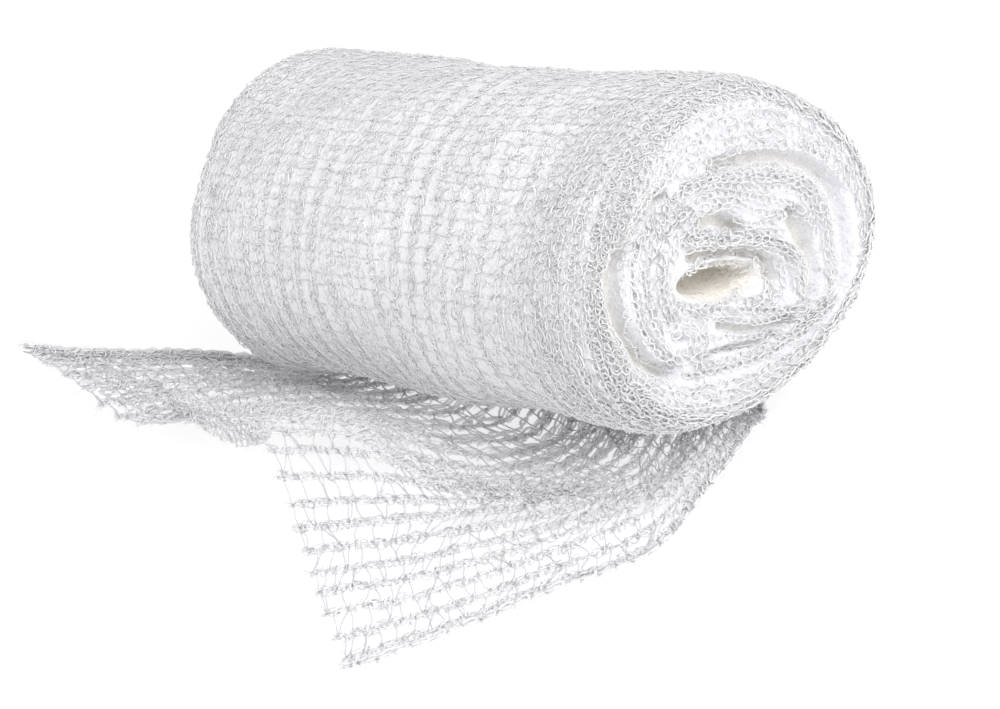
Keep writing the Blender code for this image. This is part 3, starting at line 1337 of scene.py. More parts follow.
@dataclass
class WoundRoll:
    """The wound gauze: a soft coil, rows of chain stitches round it and the turns' edges on its far face."""

    form: RollForm
    maker: YarnMaker
    under: bpy.types.Material
    yarn: bpy.types.Material
    around: int = 220
    body_rings: int = 50
    face_rings: int = 52
    mass_sink: float = 0.15
    layers: tuple[Layer, ...] = (
        Layer("outer_turn_rows", 1.4, 0.16, 1.25, 100),
        Layer("second_turn_rows", 2.9, 0.19, 1.6, 300),
        Layer("third_turn_rows", 4.2, 0.21, 1.6, 500),
    )
    crimp: Loop = Loop(2.0, 1.5, 0.24, rise=0.2, size_jitter=0.25, turn_jitter=0.3)
    row_points: int = 300
    row_drift: float = 0.9
    row_tip: float = 1.6
    cross_threads: int = 66
    cross_thick: float = 0.16
    cross_sink: float = 0.14
    cross_points: int = 70
    far_coils: int = 15
    far_loop: Loop = Loop(2.0, 1.4, 0.25, size_jitter=0.25, turn_jitter=0.5)
    far_pitch: float = 1.5
    seed: int = 11

    def coil(self) -> bpy.types.Object:
        """The mass of turns under the outer stitches.

        Returns:
            The piece.
        """
        rings = np.array(self.form.profile(self.body_rings, self.face_rings))
        angle = np.arange(self.around) / self.around * math.tau
        along, share = rings[:, :1], rings[:, 1:]
        points = self.form.surface(along, share, angle[None, :], self.mass_sink)
        count = len(rings)
        faces = ring_faces(count, self.around)
        table = points.reshape(-1, 3)
        far_middle = len(table)
        table = np.concatenate([table, points[0].mean(axis=0)[None], points[-1].mean(axis=0)[None]])
        last = (count - 1) * self.around
        for step in range(self.around):
            beside = (step + 1) % self.around
            faces.append((far_middle, beside, step))
            faces.append((far_middle + 1, last + step, last + beside))
        made = mesh_object("wound_coil", table, faces)
        made.data.materials.append(self.under)
        made.data.shade_smooth()
        # How deep in the near face each point lies, in millimetres, for the warm tint of light between turns
        axis = self.form.axis()
        on_near = (along == 0.0) & (share < 1)
        deep = np.where(on_near, -((points - NEAR_CENTRE) @ axis), 0.0).ravel()
        deep = np.concatenate([deep, [0.0, -((table[-1] - NEAR_CENTRE) @ axis)]])
        stored = made.data.attributes.new("between_turns", "FLOAT", "POINT")
        stored.data.foreach_set("value", deep.astype(np.float32))
        return made

    def line_round(self, along: float, share: float, sink: float, seed: int) -> tuple[np.ndarray, np.ndarray]:
        """A row's line round the roll.

        Args:
            along: its place along the roll.
            share: its share of the radius, under one on the shoulders.
            sink: how deep it lies.
            seed: the seed of its unevenness.

        Returns:
            Its points and the surface's normals there.
        """
        turn = np.arange(self.row_points) / self.row_points * math.tau
        drift = self.row_drift * wander(TURN_RADIUS * turn, seed, TURN_WAVES)
        places = np.clip(along + drift, -ROLL_LENGTH, 0 if share < 1 else -0.01)
        points, outward = self.form.line(places, share, turn, sink)
        ahead = unit(np.roll(points, -1, axis=0) - np.roll(points, 1, axis=0))
        if share < 1:
            # On a shoulder the rows also face along the roll, towards their own end
            end = 1 if along > -ROLL_LENGTH / 2 else -1
            tip = end * math.sqrt(max(0.0, 1 - share**2)) * self.row_tip
            outward = unit(outward + tip * self.form.axis())
        outward = unit(outward - ahead * (outward * ahead).sum(axis=1, keepdims=True))
        return points, outward

    def over(self, place: float) -> tuple[float, float]:
        """A place on the body's profile.

        Args:
            place: distance over the surface from the far face's edge.

        Returns:
            Its place along the roll and its share of the radius.
        """
        near, far = self.form.shoulder_near, self.form.shoulder_far
        near_drop = (1 - self.form.face_share_near) * SHOULDER_RADIUS
        far_drop = (1 - self.form.face_share_far) * SHOULDER_RADIUS
        far_arc = math.pi / 2 * math.sqrt((far**2 + far_drop**2) / 2)
        near_arc = math.pi / 2 * math.sqrt((near**2 + near_drop**2) / 2)
        straight = ROLL_LENGTH - near - far
        if place < far_arc:
            turn = place / far_arc * math.pi / 2
            share = 1 - far_drop / SHOULDER_RADIUS * (1 - math.sin(turn))
            return -ROLL_LENGTH + far * (1 - math.cos(turn)), share
        if place < far_arc + straight:
            return -ROLL_LENGTH + far + place - far_arc, 1.0
        turn = min(1.0, (place - far_arc - straight) / near_arc) * math.pi / 2
        share = 1 - near_drop / SHOULDER_RADIUS * (1 - math.cos(turn))
        return -near * (1 - math.sin(turn)) - 0.01, share

    def body_rows(self, layer: Layer) -> bpy.types.Object:
        """One layer's rows of stitches along the body, closer together on the near shoulder.

        Args:
            layer: the layer.

        Returns:
            The piece.
        """
        lines = LineSet()
        place = layer.offset
        number = 0
        dice = np.random.default_rng(layer.seed)
        while place < PROFILE_LENGTH:
            along, share = self.over(place)
            # The rows stand out at the far end and on the near shoulder, and sink into the nap between them
            proud = float(np.interp(place, (0.0, 25.0, 40.0, 74.0, 84.0), (0.12, 0.08, 0.0, 0.0, 0.16)))
            deep = layer.sink - proud + dice.uniform(-0.05, 0.05)
            points, normals = self.line_round(along, share, deep, layer.seed + number)
            lines.add(points, normals, closed=True)
            closer = np.interp(place, (70.0, 84.0), (1.0, 0.5))
            place += WALE_GAP * closer * dice.uniform(0.85, 1.15)
            number += 1
        return self.maker.rows(lines, layer.name, self.crimp, self.yarn, layer.seed, layer.pitch)

    def courses(self, name: str, seed: int) -> bpy.types.Object:
        """The cross threads of the outer turn, which run from one side of the gauze to the other.

        Args:
            name: the piece's name.
            seed: the seed of their unevenness.

        Returns:
            The piece.
        """
        lines = LineSet()
        dice = np.random.default_rng(seed)
        places = np.linspace(1.0, PROFILE_LENGTH, self.cross_points)
        along, share = np.array([self.over(float(place)) for place in places]).T
        for number in range(self.cross_threads):
            turn = math.tau * (number + dice.normal(0, 0.12)) / self.cross_threads
            turns = turn + 0.02 * wander(places, seed + number, (8.3, 4.1, 31.0))
            deep = self.cross_sink + 0.15 * wander(places, seed + number + 500, (4.1, 6.7))
            lines.add(*self.form.line(along, share, turns, deep))
        return self.maker.threads(lines, name, self.cross_thick, self.yarn)

    def far_turns(self) -> bpy.types.Object:
        """The turns' edges on the far face, as one coil from its middle to its rim.

        Returns:
            The piece.
        """
        lines = LineSet()
        angle = np.linspace(0, self.far_coils * math.tau, self.far_coils * 160)
        share = np.linspace(0.05, 1.0, len(angle)) * self.form.face_share_far
        share = share + 0.012 * wander(angle * FACE_RADIUS, self.seed, (31.0, 13.0, 7.0))
        lift = 0.05 + 0.2 * wander(angle * FACE_RADIUS, self.seed + 1, (9.0, 5.5, 23.0))
        along = np.full(len(angle), -ROLL_LENGTH)
        points = self.form.surface(along, np.clip(share, 0.02, 0.99), angle, -lift)
        lines.add(points, np.tile(-self.form.axis(), (len(points), 1)))
        return self.maker.rows(
            lines, "far_face_turns", self.far_loop, self.yarn, self.seed, self.far_pitch
        )


# Lines of turns' edges on the near face, as (side, up), from the outer wrap inwards and then down
OUTER_WRAP_INSIDE: Line = (
    (20.3, -0.1), (19.2, 2.6), (17.5, 5.1), (14.3, 7.9), (10.5, 10.0), (5.0, 11.8), (1.0, 12.2), (-4.5, 13.2),
    (-9.6, 12.9), (-12.8, 12.2), (-15.5, 11.4), (-18.9, 9.4), (-21.0, 6.9), (-22.3, 3.8), (-22.5, 0.9),
    (-21.8, -2.8), (-20.0, -6.4), (-17.0, -9.6), (-10.5, -12.8), (-4.6, -14.7), (2.6, -15.6), (9.6, -15.3),
    (14.4, -14.2), (17.9, -11.4), (19.7, -7.7), (20.5, -3.6),
)
GAP_INSIDE: Line = (
    (-4.5, 12.2), (1.5, 11.1), (6.6, 9.4), (11.5, 7.0), (14.7, 4.4), (17.0, 1.6), (17.8, -1.4), (17.5, -5.0),
    (16.7, -8.4), (15.6, -11.7),
)
TOP_ROW: Line = (
    (-4.6, 11.4), (0.9, 10.2), (6.0, 7.9), (10.8, 5.6), (14.2, 2.6), (15.2, -0.6), (15.2, -4.2), (14.5, -7.6),
    (13.4, -10.9),
)
UNDER_TOP: Line = ((-4.4, 10.6), (0.9, 9.4), (5.4, 6.8), (10.2, 4.7), (13.6, 2.2), (14.3, -0.3), (14.1, -3.6))
FOLD: Line = (
    (-3.1, 6.2), (-1.2, 6.9), (0.6, 6.6), (2.5, 3.9), (4.7, 1.9), (7.7, 0.9), (10.5, 0.6), (13.1, 0.5),
)
LEFT_GAP_INSIDE: Line = (
    (-7.7, 12.2), (-11.3, 11.0), (-14.2, 9.7), (-16.8, 8.0), (-18.5, 5.4), (-19.4, 2.5), (-19.6, -0.8),
    (-18.8, -3.9), (-17.2, -6.8), (-14.6, -9.2),
)
LEFT_OUTER: Line = (
    (-6.1, 11.2), (-10.0, 10.3), (-13.4, 8.9), (-15.9, 6.7), (-17.0, 4.0), (-17.6, 1.0), (-17.6, -2.0),
    (-16.8, -4.8), (-15.0, -7.6),
)
LEFT_MIDDLE: Line = (
    (-5.6, 9.6), (-9.0, 8.9), (-12.2, 7.4), (-14.6, 5.0), (-15.6, 2.2), (-15.8, -0.5), (-15.4, -3.2),
)
LEFT_INNER: Line = ((-5.0, 8.4), (-7.9, 7.3), (-10.7, 5.8), (-12.6, 3.2), (-13.4, 0.2), (-13.2, -2.6))
LEFT_CORE: Line = ((-4.4, 6.6), (-6.6, 5.9), (-9.0, 4.5), (-10.9, 2.6), (-11.7, 0.4), (-11.2, -1.8))
LOOPED_EDGE: Line = (
    (-6.6, 5.2), (-3.8, 4.1), (-1.2, 2.7), (1.6, 1.4), (4.3, 0.0), (7.1, -1.6), (9.3, -3.6), (10.5, -5.9),
    (10.3, -8.1), (9.2, -9.7),
)
LOOPED_EDGE_LOW: Line = (
    (-6.9, 4.0), (-4.2, 3.1), (-1.4, 2.0), (1.4, 0.5), (4.2, -0.9), (6.4, -2.7), (8.0, -4.6), (8.6, -6.4),
    (8.0, -8.3),
)
ABOVE_LOOPED: Line = ((-5.9, 5.6), (-2.1, 4.2), (1.8, 2.2), (5.5, 0.3), (8.5, -0.9))
CURL_OUTSIDE: Line = (
    (-7.3, 1.6), (-4.9, 1.3), (-2.0, 0.4), (1.6, -1.0), (3.6, -2.6), (3.8, -4.3), (2.4, -5.4),
)
CURL_INSIDE: Line = (
    (-7.4, 1.1), (-4.9, 0.7), (-2.2, -0.3), (1.0, -1.7), (2.5, -2.9), (2.6, -4.1), (1.4, -4.9),
)
BESIDE_CURL: Line = ((4.9, -3.4), (5.3, -5.2), (4.4, -6.9), (2.4, -7.4), (-0.4, -6.6))
BESIDE_EDGE: Line = ((6.9, -4.8), (7.2, -6.6), (6.0, -8.3), (3.6, -9.0), (0.8, -8.2))
CORE_LOW: Line = ((-11.0, -1.0), (-9.4, -2.8), (-5.8, -4.7), (-2.0, -6.0), (0.8, -6.0))
LOW_FIRST: Line = (
    (-8.8, -3.9), (-5.7, -5.3), (-2.2, -6.9), (1.3, -8.8), (4.7, -10.5), (7.5, -11.6), (10.0, -11.8),
)
LOW_SECOND: Line = (
    (-8.0, -5.4), (-4.8, -6.9), (-1.4, -9.0), (2.7, -10.9), (6.5, -11.8), (10.7, -12.3), (14.0, -12.3),
)
LOW_THIRD: Line = ((-9.0, -7.5), (-5.9, -9.1), (-1.9, -11.1), (2.9, -12.7), (7.0, -13.3), (11.5, -13.2))
LOW_FOURTH: Line = ((-11.5, -10.0), (-8.5, -11.3), (-4.4, -12.5), (1.2, -13.9), (6.0, -14.2), (11.0, -14.0))
LOW_OUTER: Line = ((-13.8, -10.4), (-9.5, -12.0), (-4.4, -13.7), (2.4, -14.8), (9.0, -14.6), (13.6, -13.4))
RING: Line = (
    (-13.4, -3.8), (-11.7, -3.5), (-10.1, -4.7), (-9.8, -6.5), (-10.5, -8.1), (-12.2, -8.8),
    (-14.3, -7.9),
)
RING_INSIDE: Line = ((-13.2, -4.9), (-11.9, -4.6), (-11.1, -5.6), (-11.0, -6.8), (-11.8, -7.6), (-13.2, -7.2))
RING_BESIDE: Line = ((-12.6, -2.6), (-10.4, -2.9), (-8.8, -4.6), (-8.4, -6.6), (-9.2, -9.0), (-11.6, -10.2))


@dataclass(frozen=True)
class Band:
    """Turns' edges that lie side by side on the near face, spread evenly from one line to another.

    Args:
        first: the first turn's line.
        last: the last turn's line.
        turns: how many turns there are.
        lift: how far they stand above the relief.
    """

    first: Line
    last: Line
    turns: int
    lift: float = 0.1


@dataclass
class FaceTurns:
    """The turns' edges on the near face: the outer wrap as a coil, and bands of turns inside its gap."""

    form: RollForm
    maker: YarnMaker
    yarn: bpy.types.Material
    seed: int = 41
    loop: Loop = Loop(1.8, 1.2, 0.25, size_jitter=0.25, turn_jitter=0.5)
    pitch: float = 1.3
    wrap_coils: float = 6.6
    band_points: int = 60
    bands: tuple[Band, ...] = (
        Band(GAP_INSIDE, TOP_ROW, 4, 0.3),
        Band(UNDER_TOP, FOLD, 4, 0.2),
        Band(LEFT_GAP_INSIDE, LEFT_OUTER, 3, 0.2),
        Band(LEFT_OUTER, LEFT_MIDDLE, 3),
        Band(LEFT_MIDDLE, LEFT_INNER, 3),
        Band(LEFT_INNER, LEFT_CORE, 3),
        Band(LOOPED_EDGE, LOOPED_EDGE_LOW, 3, 0.5),
        Band(CURL_OUTSIDE, CURL_INSIDE, 2),
        Band(BESIDE_CURL, BESIDE_EDGE, 3),
        Band(CORE_LOW, LOW_FIRST, 2),
        Band(LOW_FIRST, LOW_SECOND, 2, 0.3),
        Band(LOW_THIRD, LOW_OUTER, 3),
        Band(LOW_FOURTH, LOW_OUTER, 2, 0.3),
        Band(ABOVE_LOOPED, LOOPED_EDGE, 3),
        Band(RING, RING_INSIDE, 2, 0.3),
        Band(RING_BESIDE, RING_BESIDE, 1, 0.2),
    )

    def on_face(self, side: np.ndarray, up: np.ndarray, lift: np.ndarray) -> np.ndarray:
        """Points on the near face's relief, a little above it."""
        return self.form.place(lift - self.form.near_depth(side, up), side, up)

    def facing(self, points: np.ndarray, lean: float) -> np.ndarray:
        """Normals for rows on the face.

        Args:
            points: a row's points.
            lean: how far its loops lean outwards.

        Returns:
            The normals.
        """
        face = self.form.axis()
        ahead = unit(np.gradient(points, axis=0))
        away = points - NEAR_CENTRE
        away = away - (away @ face)[:, None] * face
        away = unit(away - ahead * (away * ahead).sum(axis=1, keepdims=True))
        return unit(face + lean * away)

    def wrap_line(self) -> np.ndarray:
        """The outer wrap's coil, from its inside edge to the rim.

        Returns:
            Its points.
        """
        inside = np.array(OUTER_WRAP_INSIDE)
        around = np.unwrap(np.arctan2(inside[:, 1], inside[:, 0]))
        around = np.concatenate([around - math.tau, around, around + math.tau])
        reach = np.tile(np.hypot(inside[:, 0], inside[:, 1]), 3)
        count = int(self.wrap_coils * 240)
        angle = np.linspace(0, self.wrap_coils * math.tau, count)
        share = np.linspace(0.02, 1.0, count)
        share = share + 0.04 * wander(angle * FACE_RADIUS, self.seed, (31.0, 17.0, 11.0))
        turned = (angle + math.pi) % math.tau - math.pi
        inner = np.interp(turned, around, reach)
        row = self.form.row(np.zeros_like(angle))
        rim = 0.97 * self.form.radius(np.zeros_like(angle), angle)
        radius = inner + np.clip(share, 0, 1) * (rim - inner)
        side = radius * np.cos(angle) + row[:, SIDE]
        up = radius * np.sin(angle) + row[:, UP]
        lift = 0.1 + 0.3 * wander(angle * FACE_RADIUS, self.seed + 1, (9.0, 5.5, 23.0)) * (1 - share)
        return self.on_face(side, up, lift)

    def build(self) -> bpy.types.Object:
        """Build the face's rows.

        Returns:
            The piece.
        """
        lines = LineSet()
        wrap = self.wrap_line()
        face = self.facing(wrap, 0.3)
        out = self.facing(wrap, 3.0)
        share = np.linspace(0, 1, len(wrap))[:, None]
        lines.add(wrap, unit(face * (1 - share) + out * share))
        count = self.band_points
        reach = np.linspace(0, 20, count)
        for number, band in enumerate(self.bands):
            first, last = (
                smooth_rows(line, np.linspace(0, len(line) - 1, count)) for line in (band.first, band.last)
            )
            for turn in range(band.turns):
                share = turn / max(1, band.turns - 1)
                places = first * (1 - share) + last * share
                seed = self.seed + 13 * number + turn
                lift = band.lift + 0.25 * wander(reach, seed, (4.0, 7.0, 2.6))
                side = places[:, 0] + 0.15 * wander(reach, seed + 5, (5.0, 3.1))
                up = places[:, 1] + 0.15 * wander(reach, seed + 6, (5.0, 3.1))
                points = self.on_face(side, up, lift)
                lines.add(points, self.facing(points, 0.3))
        return self.maker.rows(lines, "near_face_turns", self.loop, self.yarn, self.seed, self.pitch)


@dataclass
class LooseEnd:
    """The loose end: rows of chain stitches, cross threads, looped selvedges, folds and a frayed cut edge.

    Shares of the width run from the near selvedge, and shares of the length from the cut edge to the roll.
    """

    form: LooseForm
    maker: YarnMaker
    yarn: bpy.types.Material
    thread: bpy.types.Material
    steps: int = 170
    length: float = 72.0
    sway: float = 0.22
    seed: int = 71
    row_loop: Loop = Loop(1.8, 1.45, 0.24, rise=0.8, size_jitter=0.3, turn_jitter=0.8)
    row_pitch: float = 0.75
    selvedge_loop: Loop = Loop(2.9, 1.7, 0.46, rise=0.2, steps=10, sides=4)
    laid_in_thick: float = 0.55
    thread_thick: float = 0.25
    frayed_thick: float = 0.11
    frayed_each: int = 11
    # The layer folded under the sheet: its loop, and where it begins and ends at shares of the width
    folded_loop: Loop = Loop(3.2, 1.3, 0.45, turn_jitter=0.35, steps=8, sides=4)
    folded_from_row: int = 6
    folded_first: Line = ((0.22, 0.72), (0.35, 0.62), (0.5, 0.48), (0.6, 0.3), (0.7, 0.08), (1.0, 0.0))
    folded_last: Line = ((0.0, 1.0), (0.3, 1.0), (0.6, 0.97), (1.0, 0.7))
    # The pleat behind the left strip: its loop, and its lower and upper edge as (along, side, height)
    pleat_loop: Loop = Loop(1.8, 1.3, 0.24, rise=0.8, size_jitter=0.3, turn_jitter=0.8)
    pleat_pitch: float = 0.8
    pleat_low: Line3 = (
        (-87, -37, 10.0), (-82, -37.4, 9.4), (-77.5, -38, 9.2), (-73, -38.3, 8.8), (-68, -38.7, 9.4),
        (-61, -39.3, 11.8),
    )
    pleat_high: Line3 = (
        (-88, -37, 11.0), (-83, -37.4, 12.6), (-78, -38, 13.2), (-71, -38.5, 13.4), (-66, -39, 13.2),
        (-60, -39.4, 13.6),
    )

    def row_places(self) -> list[float]:
        """Where the rows lie across the gauze, in millimetres from the near selvedge."""
        inner = np.linspace(SELVEDGE_TO_FIRST, CLOTH_WIDTH - SELVEDGE_TO_FIRST, INNER_ROWS)
        return [0.0, SELVEDGE_GAP, *inner.tolist(), CLOTH_WIDTH - SELVEDGE_GAP, CLOTH_WIDTH]

    def row_line(self, place: float) -> tuple[np.ndarray, np.ndarray]:
        """A stitch row's line.

        Args:
            place: the row's place across the gauze, in millimetres.

        Returns:
            Its points and the cloth's normals there.
        """
        along = np.linspace(0, 1, self.steps)
        across = np.full(self.steps, place / CLOTH_WIDTH)
        reach = along * self.length
        seed = self.seed + 5 * int(round(place * 4))
        shift = self.sway * wander(reach, seed, (7.0, 4.1, 13.0))
        points = self.form.surface(np.clip(across + shift / CLOTH_WIDTH, 0, 1), along)
        normals = self.form.normal(across, along)
        lift = self.sway * wander(reach, seed + 1, (5.2, 3.3, 11.0))
        points = points + normals * lift[:, None]
        points[:, 2] = np.maximum(points[:, 2], 0.35)
        return points, normals

    def cords(self) -> list[bpy.types.Object]:
        """The rows of chain stitches, with larger loops on the selvedges and a yarn laid in each row.

        Returns:
            The inner rows, the selvedges and the laid-in yarns.
        """
        inner, edges, cores = LineSet(), LineSet(), LineSet()
        for place in self.row_places():
            points, normals = self.row_line(place)
            (edges if place in (0.0, CLOTH_WIDTH) else inner).add(points, normals)
            cores.add(points[1:-1:2], normals[1:-1:2])
        body = self.maker.rows(
            inner, "loose_end_rows", self.row_loop, self.yarn, self.seed, self.row_pitch
        )
        rims = self.maker.rows(
            edges, "loose_end_selvedges", self.selvedge_loop, self.yarn, self.seed + 1
        )
        laid_in = self.maker.threads(cores, "loose_end_laid_in_yarn", self.laid_in_thick, self.yarn)
        return [body, rims, laid_in]

    def cross_threads(self) -> bpy.types.Object:
        """The thin threads between neighbouring rows, mostly one to a loop and sometimes two.

        Returns:
            The piece.
        """
        dice = np.random.default_rng(self.seed)
        lines = LineSet()
        places = self.row_places()
        for low, high in zip(places, places[1:]):
            here, normal = self.row_line(low)
            there, _ = self.row_line(high)
            first = even_places(here, LOOP_PITCH)
            second = even_places(there, LOOP_PITCH)
            count = min(len(first), len(second))
            lean = 0.1
            for loop in range(count):
                # The slant drifts from thread to thread, and a second one often starts beside the first
                for strand in range(2 if dice.random() < 0.4 else 1):
                    lean = 0.6 * lean + 0.4 * dice.normal(0.35, 0.8)
                    start = np.clip(loop + dice.normal(0, 0.12), 0, count - 1)
                    stop = np.clip(loop + lean + strand * dice.choice((-0.5, 0.5)), 0, count - 1)
                    leaves = read_between(here, np.interp([start], np.arange(len(first)), first))[0]
                    meets = read_between(there, np.interp([stop], np.arange(len(second)), second))[0]
                    self.add_strand(lines, leaves, meets, normal[int(first[loop])], dice)
        return self.maker.threads(lines, "loose_end_cross_threads", self.thread_thick, self.thread)

    def add_strand(
        self, lines: LineSet, start: np.ndarray, stop: np.ndarray, up: np.ndarray, dice: np.random.Generator
    ) -> None:
        """Add one slack thread between two rows.

        Args:
            lines: where it goes.
            start: where it leaves one row.
            stop: where it meets the next.
            up: the cloth's normal.
            dice: the random numbers.
        """
        part = np.linspace(0, 1, 6)[:, None]
        run = stop - start
        beside = unit(np.cross(run, up))
        bow = np.sin(math.pi * part)
        wave = np.sin(math.tau * part + dice.uniform(0, math.tau)) * bow
        points = start + part * run + dice.normal(0, 0.2) * bow * beside + 0.12 * wave * beside
        points = points - abs(dice.normal(0, 0.12)) * bow * up
        points[:, 2] = np.maximum(points[:, 2], 0.2)
        lines.add(points, np.repeat(up[None], len(points), axis=0))

    def under_layer(self) -> bpy.types.Object:
        """The gauze folded under itself: where it gathers at the roll, along the left strip and in its pleat.

        Returns:
            The piece.
        """
        lines = LineSet()
        places = self.row_places()
        for low, high in zip(places[self.folded_from_row :], places[self.folded_from_row + 1 :]):
            # Two hidden rows between each two that show
            for part in (0.35, 0.7):
                place = low + part * (high - low)
                points, normals = self.row_line(place)
                across = place / CLOTH_WIDTH
                first = float(np.interp(across, *zip(*self.folded_first)))
                last = float(np.interp(across, *zip(*self.folded_last)))
                span = slice(int(first * self.steps), int(last * self.steps))
                # Half a millimetre and more beneath the sheet, and never under the floor
                dropped = points[span] - normals[span] * (0.5 + 0.3 * part)
                dropped[:, 2] = np.maximum(dropped[:, 2], 0.3)
                lines.add(dropped, normals[span])
        folded = self.maker.rows(
            lines, "loose_end_folded_rows", self.folded_loop, self.yarn, self.seed + 3
        )
        return joined("loose_end_under_layer", [folded, self.pleat()])

    def pleat(self) -> bpy.types.Object:
        """The rows of the small pleat that hangs behind the left strip's cut edge.

        Returns:
            The piece.
        """
        lines = LineSet()
        count = 40
        reach = np.linspace(0, 26, count)
        for row, share in enumerate((0.0, 0.3, 0.62, 1.0)):
            line = np.array(self.pleat_low) * (1 - share) + np.array(self.pleat_high) * share
            points = smooth_rows(line, np.linspace(0, len(line) - 1, count)) + self.form.origin()
            points[:, 2] += 0.25 * wander(reach, self.seed + 40 + row, (5.3, 3.1, 8.0))
            lines.add(points, np.tile((0.0, -1.0, 0.0), (count, 1)))
        return self.maker.rows(
            lines, "loose_end_pleat", self.pleat_loop, self.yarn, self.seed + 41, self.pleat_pitch
        )

    def frayed_ends(self) -> bpy.types.Object:
        """The tufts of fibres that splay from each row at the cut edge.

        Returns:
            The piece.
        """
        dice = np.random.default_rng(self.seed + 9)
        lines = LineSet()
        for place in self.row_places():
            points, normals = self.row_line(place)
            ahead = unit(points[0] - points[4])
            beside = unit(np.cross(ahead, normals[0]))
            for _ in range(self.frayed_each):
                part = np.linspace(0, 1, 6)[:, None]
                spread = dice.normal(0, 0.75) * beside + dice.normal(0.1, 0.4) * normals[0]
                reach = dice.uniform(0.8, 2.2)
                curl = dice.normal(0, 0.25) * np.sin(math.tau * part) * beside
                strand = points[2] + part * reach * ahead + part**1.5 * spread + curl
                strand[:, 2] = np.maximum(strand[:, 2], 0.12)
                lines.add(strand, np.repeat(normals[:1], 6, axis=0))
        return self.maker.threads(lines, "loose_end_frayed_ends", self.frayed_thick, self.yarn)


@dataclass(frozen=True)
class SoftBox:
    """A square soft box.

    Args:
        name: its name.
        at: its place in millimetres.
        size: its side in millimetres.
        watts: its power.
        aim: what it points at, in millimetres.
    """

    name: str
    at: tuple[float, float, float]
    size: float
    watts: float
    aim: tuple[float, float, float]

    def hang(self) -> None:
        """Hang it in the scene."""
        data = bpy.data.lights.new(self.name, "AREA")
        data.shape = "SQUARE"
        data.size = self.size * MM
        data.energy = self.watts
        made = bpy.data.objects.new(self.name, data)
        made.location = Vector(self.at) * MM
        toward = Vector(self.aim) * MM - made.location
        made.rotation_euler = toward.to_track_quat("-Z", "Y").to_euler()
        bpy.context.scene.collection.objects.link(made)


@dataclass
class Studio:
    """A plain white paper floor, soft light from the right and front, and the camera of the photo."""

    finish: StudioFinish = StudioFinish()
    half_paper: float = 3000.0
    paper_sink: float = 0.05
    room_light: float = 0.47
    boxes: tuple[SoftBox, ...] = (
        SoftBox("soft_box_right", (450, -20, 390), 380, 2.8, (20, 10, 25)),
        SoftBox("soft_box_front", (-120, -430, 430), 480, 1.35, (-10, 0, 25)),
    )

    def floor(self) -> None:
        """Lay the paper, a hair under the floor's plane."""
        ways = np.array([(-1, -1), (1, -1), (1, 1), (-1, 1)])
        corners = np.column_stack([ways * self.half_paper, np.full(4, -self.paper_sink)])
        paper = mesh_object("paper_floor", corners, [(0, 1, 2, 3)])
        paper.data.materials.append(self.finish.material())

    def light(self) -> None:
        """Set the room's light and the soft boxes."""
        world = bpy.data.worlds.new("white_room")
        world.use_nodes = True
        ground = world.node_tree.nodes["Background"]
        ground.inputs["Color"].default_value = (1.0, 1.0, 1.0, 1.0)
        ground.inputs["Strength"].default_value = self.room_light
        bpy.context.scene.world = world
        for box in self.boxes:
            box.hang()
        bpy.context.scene.view_settings.view_transform = "Standard"

    def camera(self) -> None:
        """Place the camera as the photo's stood."""
        turn = math.radians(AZIMUTH_DEG)
        rise = math.radians(ELEVATION_DEG)
        tilt = math.radians(ROLL_DEG)
        back = Vector((math.sin(turn) * math.cos(rise), -math.cos(turn) * math.cos(rise), math.sin(rise)))
        level_right = Vector((math.cos(turn), math.sin(turn), 0.0))
        level_up = back.cross(level_right)
        right = level_right * math.cos(tilt) - level_up * math.sin(tilt)
        up = level_up * math.cos(tilt) + level_right * math.sin(tilt)
        place = Vector(NEAR_CENTRE) - NEAR_FACE_RIGHT * right - NEAR_FACE_UP * up + NEAR_FACE_AWAY * back
        data = bpy.data.cameras.new("photo_camera")
        data.sensor_width = SENSOR
        data.lens = LENS
        data.clip_start = 0.01
        made = bpy.data.objects.new("photo_camera", data)
        turned = Matrix((right, up, back)).transposed().to_4x4()
        made.matrix_world = Matrix.Translation(place * MM) @ turned
        bpy.context.scene.collection.objects.link(made)
        bpy.context.scene.camera = made


def report(piece: bpy.types.Object) -> None:
    """Log a piece's name and how many triangles it has."""
    LOG.info("%s: %d triangles", piece.name, sum(len(face.vertices) - 2 for face in piece.data.polygons))


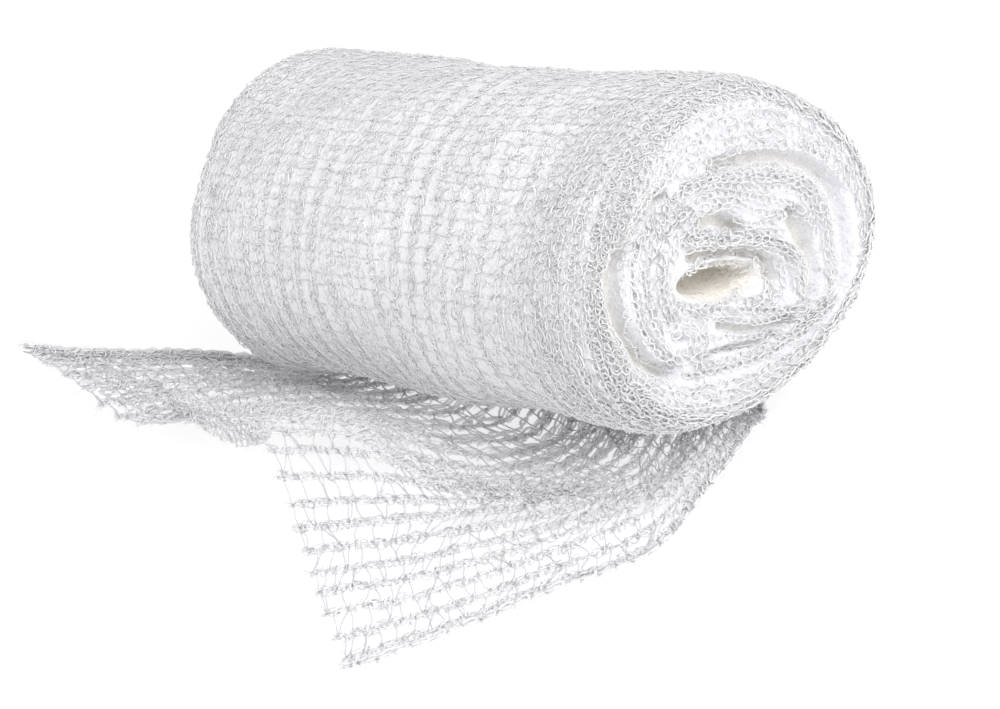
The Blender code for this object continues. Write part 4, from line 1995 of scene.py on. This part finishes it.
def main() -> None:
    """Build the studio, the wound roll and its loose end, and say what each piece holds."""
    logging.basicConfig(level=logging.INFO, format="%(message)s")
    studio = Studio()
    studio.floor()
    studio.light()
    studio.camera()

    form = RollForm()
    maker = YarnMaker()
    # Bleached chain-stitch yarn over many layers: matt, nearly white, with a soft grey of painted shade only
    # between its loops
    yarn = YarnFinish(
        "bleached_chain_stitch_yarn", pale="#fcfcfd", deep="#f5f5f7", fibre_mm=0.14, relief_mm=0.05
    ).material()
    # The same yarn in a single open layer: a little greyer, as painted shade for the open layer that is lit
    # less than the paper behind it, so that it stands out from it
    single = YarnFinish(
        "single_layer_gauze_yarn_painted_shade", pale="#f4f4f6", deep="#e4e4e8", fibre_mm=0.14, relief_mm=0.06
    ).material()
    # Fine twisted cross thread: thin lines painted grey as shade, with less light inside and hardly any fuzz
    thread = YarnFinish(
        "smooth_cross_thread_painted_shade", "#d6d6db", "#c8c8cf", fibre_mm=0.1, relief_mm=0.01, translucent=0.2
    ).material()
    # The turns beneath, seen as one nap: uneven soft clumps, greyer than the rows' yarn as painted shade in
    # the hollows between the rows, and a warm white of painted light deep in the gaps and the core
    under = YarnFinish(
        "bleached_gauze_mass_painted_light_and_shade", "#e9e9ec", "#dddde2", fibre_mm=0.25, relief_mm=0.35, between="#f6f2ea"
    ).material()

    roll = WoundRoll(form, maker, under, yarn)
    coil = roll.coil()
    layers = [roll.body_rows(layer) for layer in roll.layers]
    courses = roll.courses("outer_turn_cross_threads", 700)
    face = FaceTurns(form, maker, yarn).build()
    far_face = roll.far_turns()
    hair = Fibre(long=1.6, thick=0.1, curl=0.45)
    fuzz = maker.fuzz(coil, "roll_loose_fibres", hair, per_mm2=0.3, material=yarn, seed=900)
    wound = [coil, *layers, courses, face, far_face, fuzz]
    for piece in wound:
        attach(piece, "root")
    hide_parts("roll")

    loose = LooseEnd(LooseForm(form), maker, single, thread)
    net = joined("loose_end_net", [*loose.cords(), loose.cross_threads()])
    frayed = loose.frayed_ends()
    beneath = loose.under_layer()
    fine_hair = Fibre(long=1.0, thick=0.08, curl=0.4)
    hairs = maker.fuzz(net, "loose_end_loose_fibres", fine_hair, per_mm2=0.38, material=single, seed=950)
    for piece in (net, frayed, beneath, hairs):
        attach(piece, "root")
    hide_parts("loose_end")
    for piece in (*wound, net, frayed, beneath, hairs):
        report(piece)


if __name__ == "__main__":
    main()
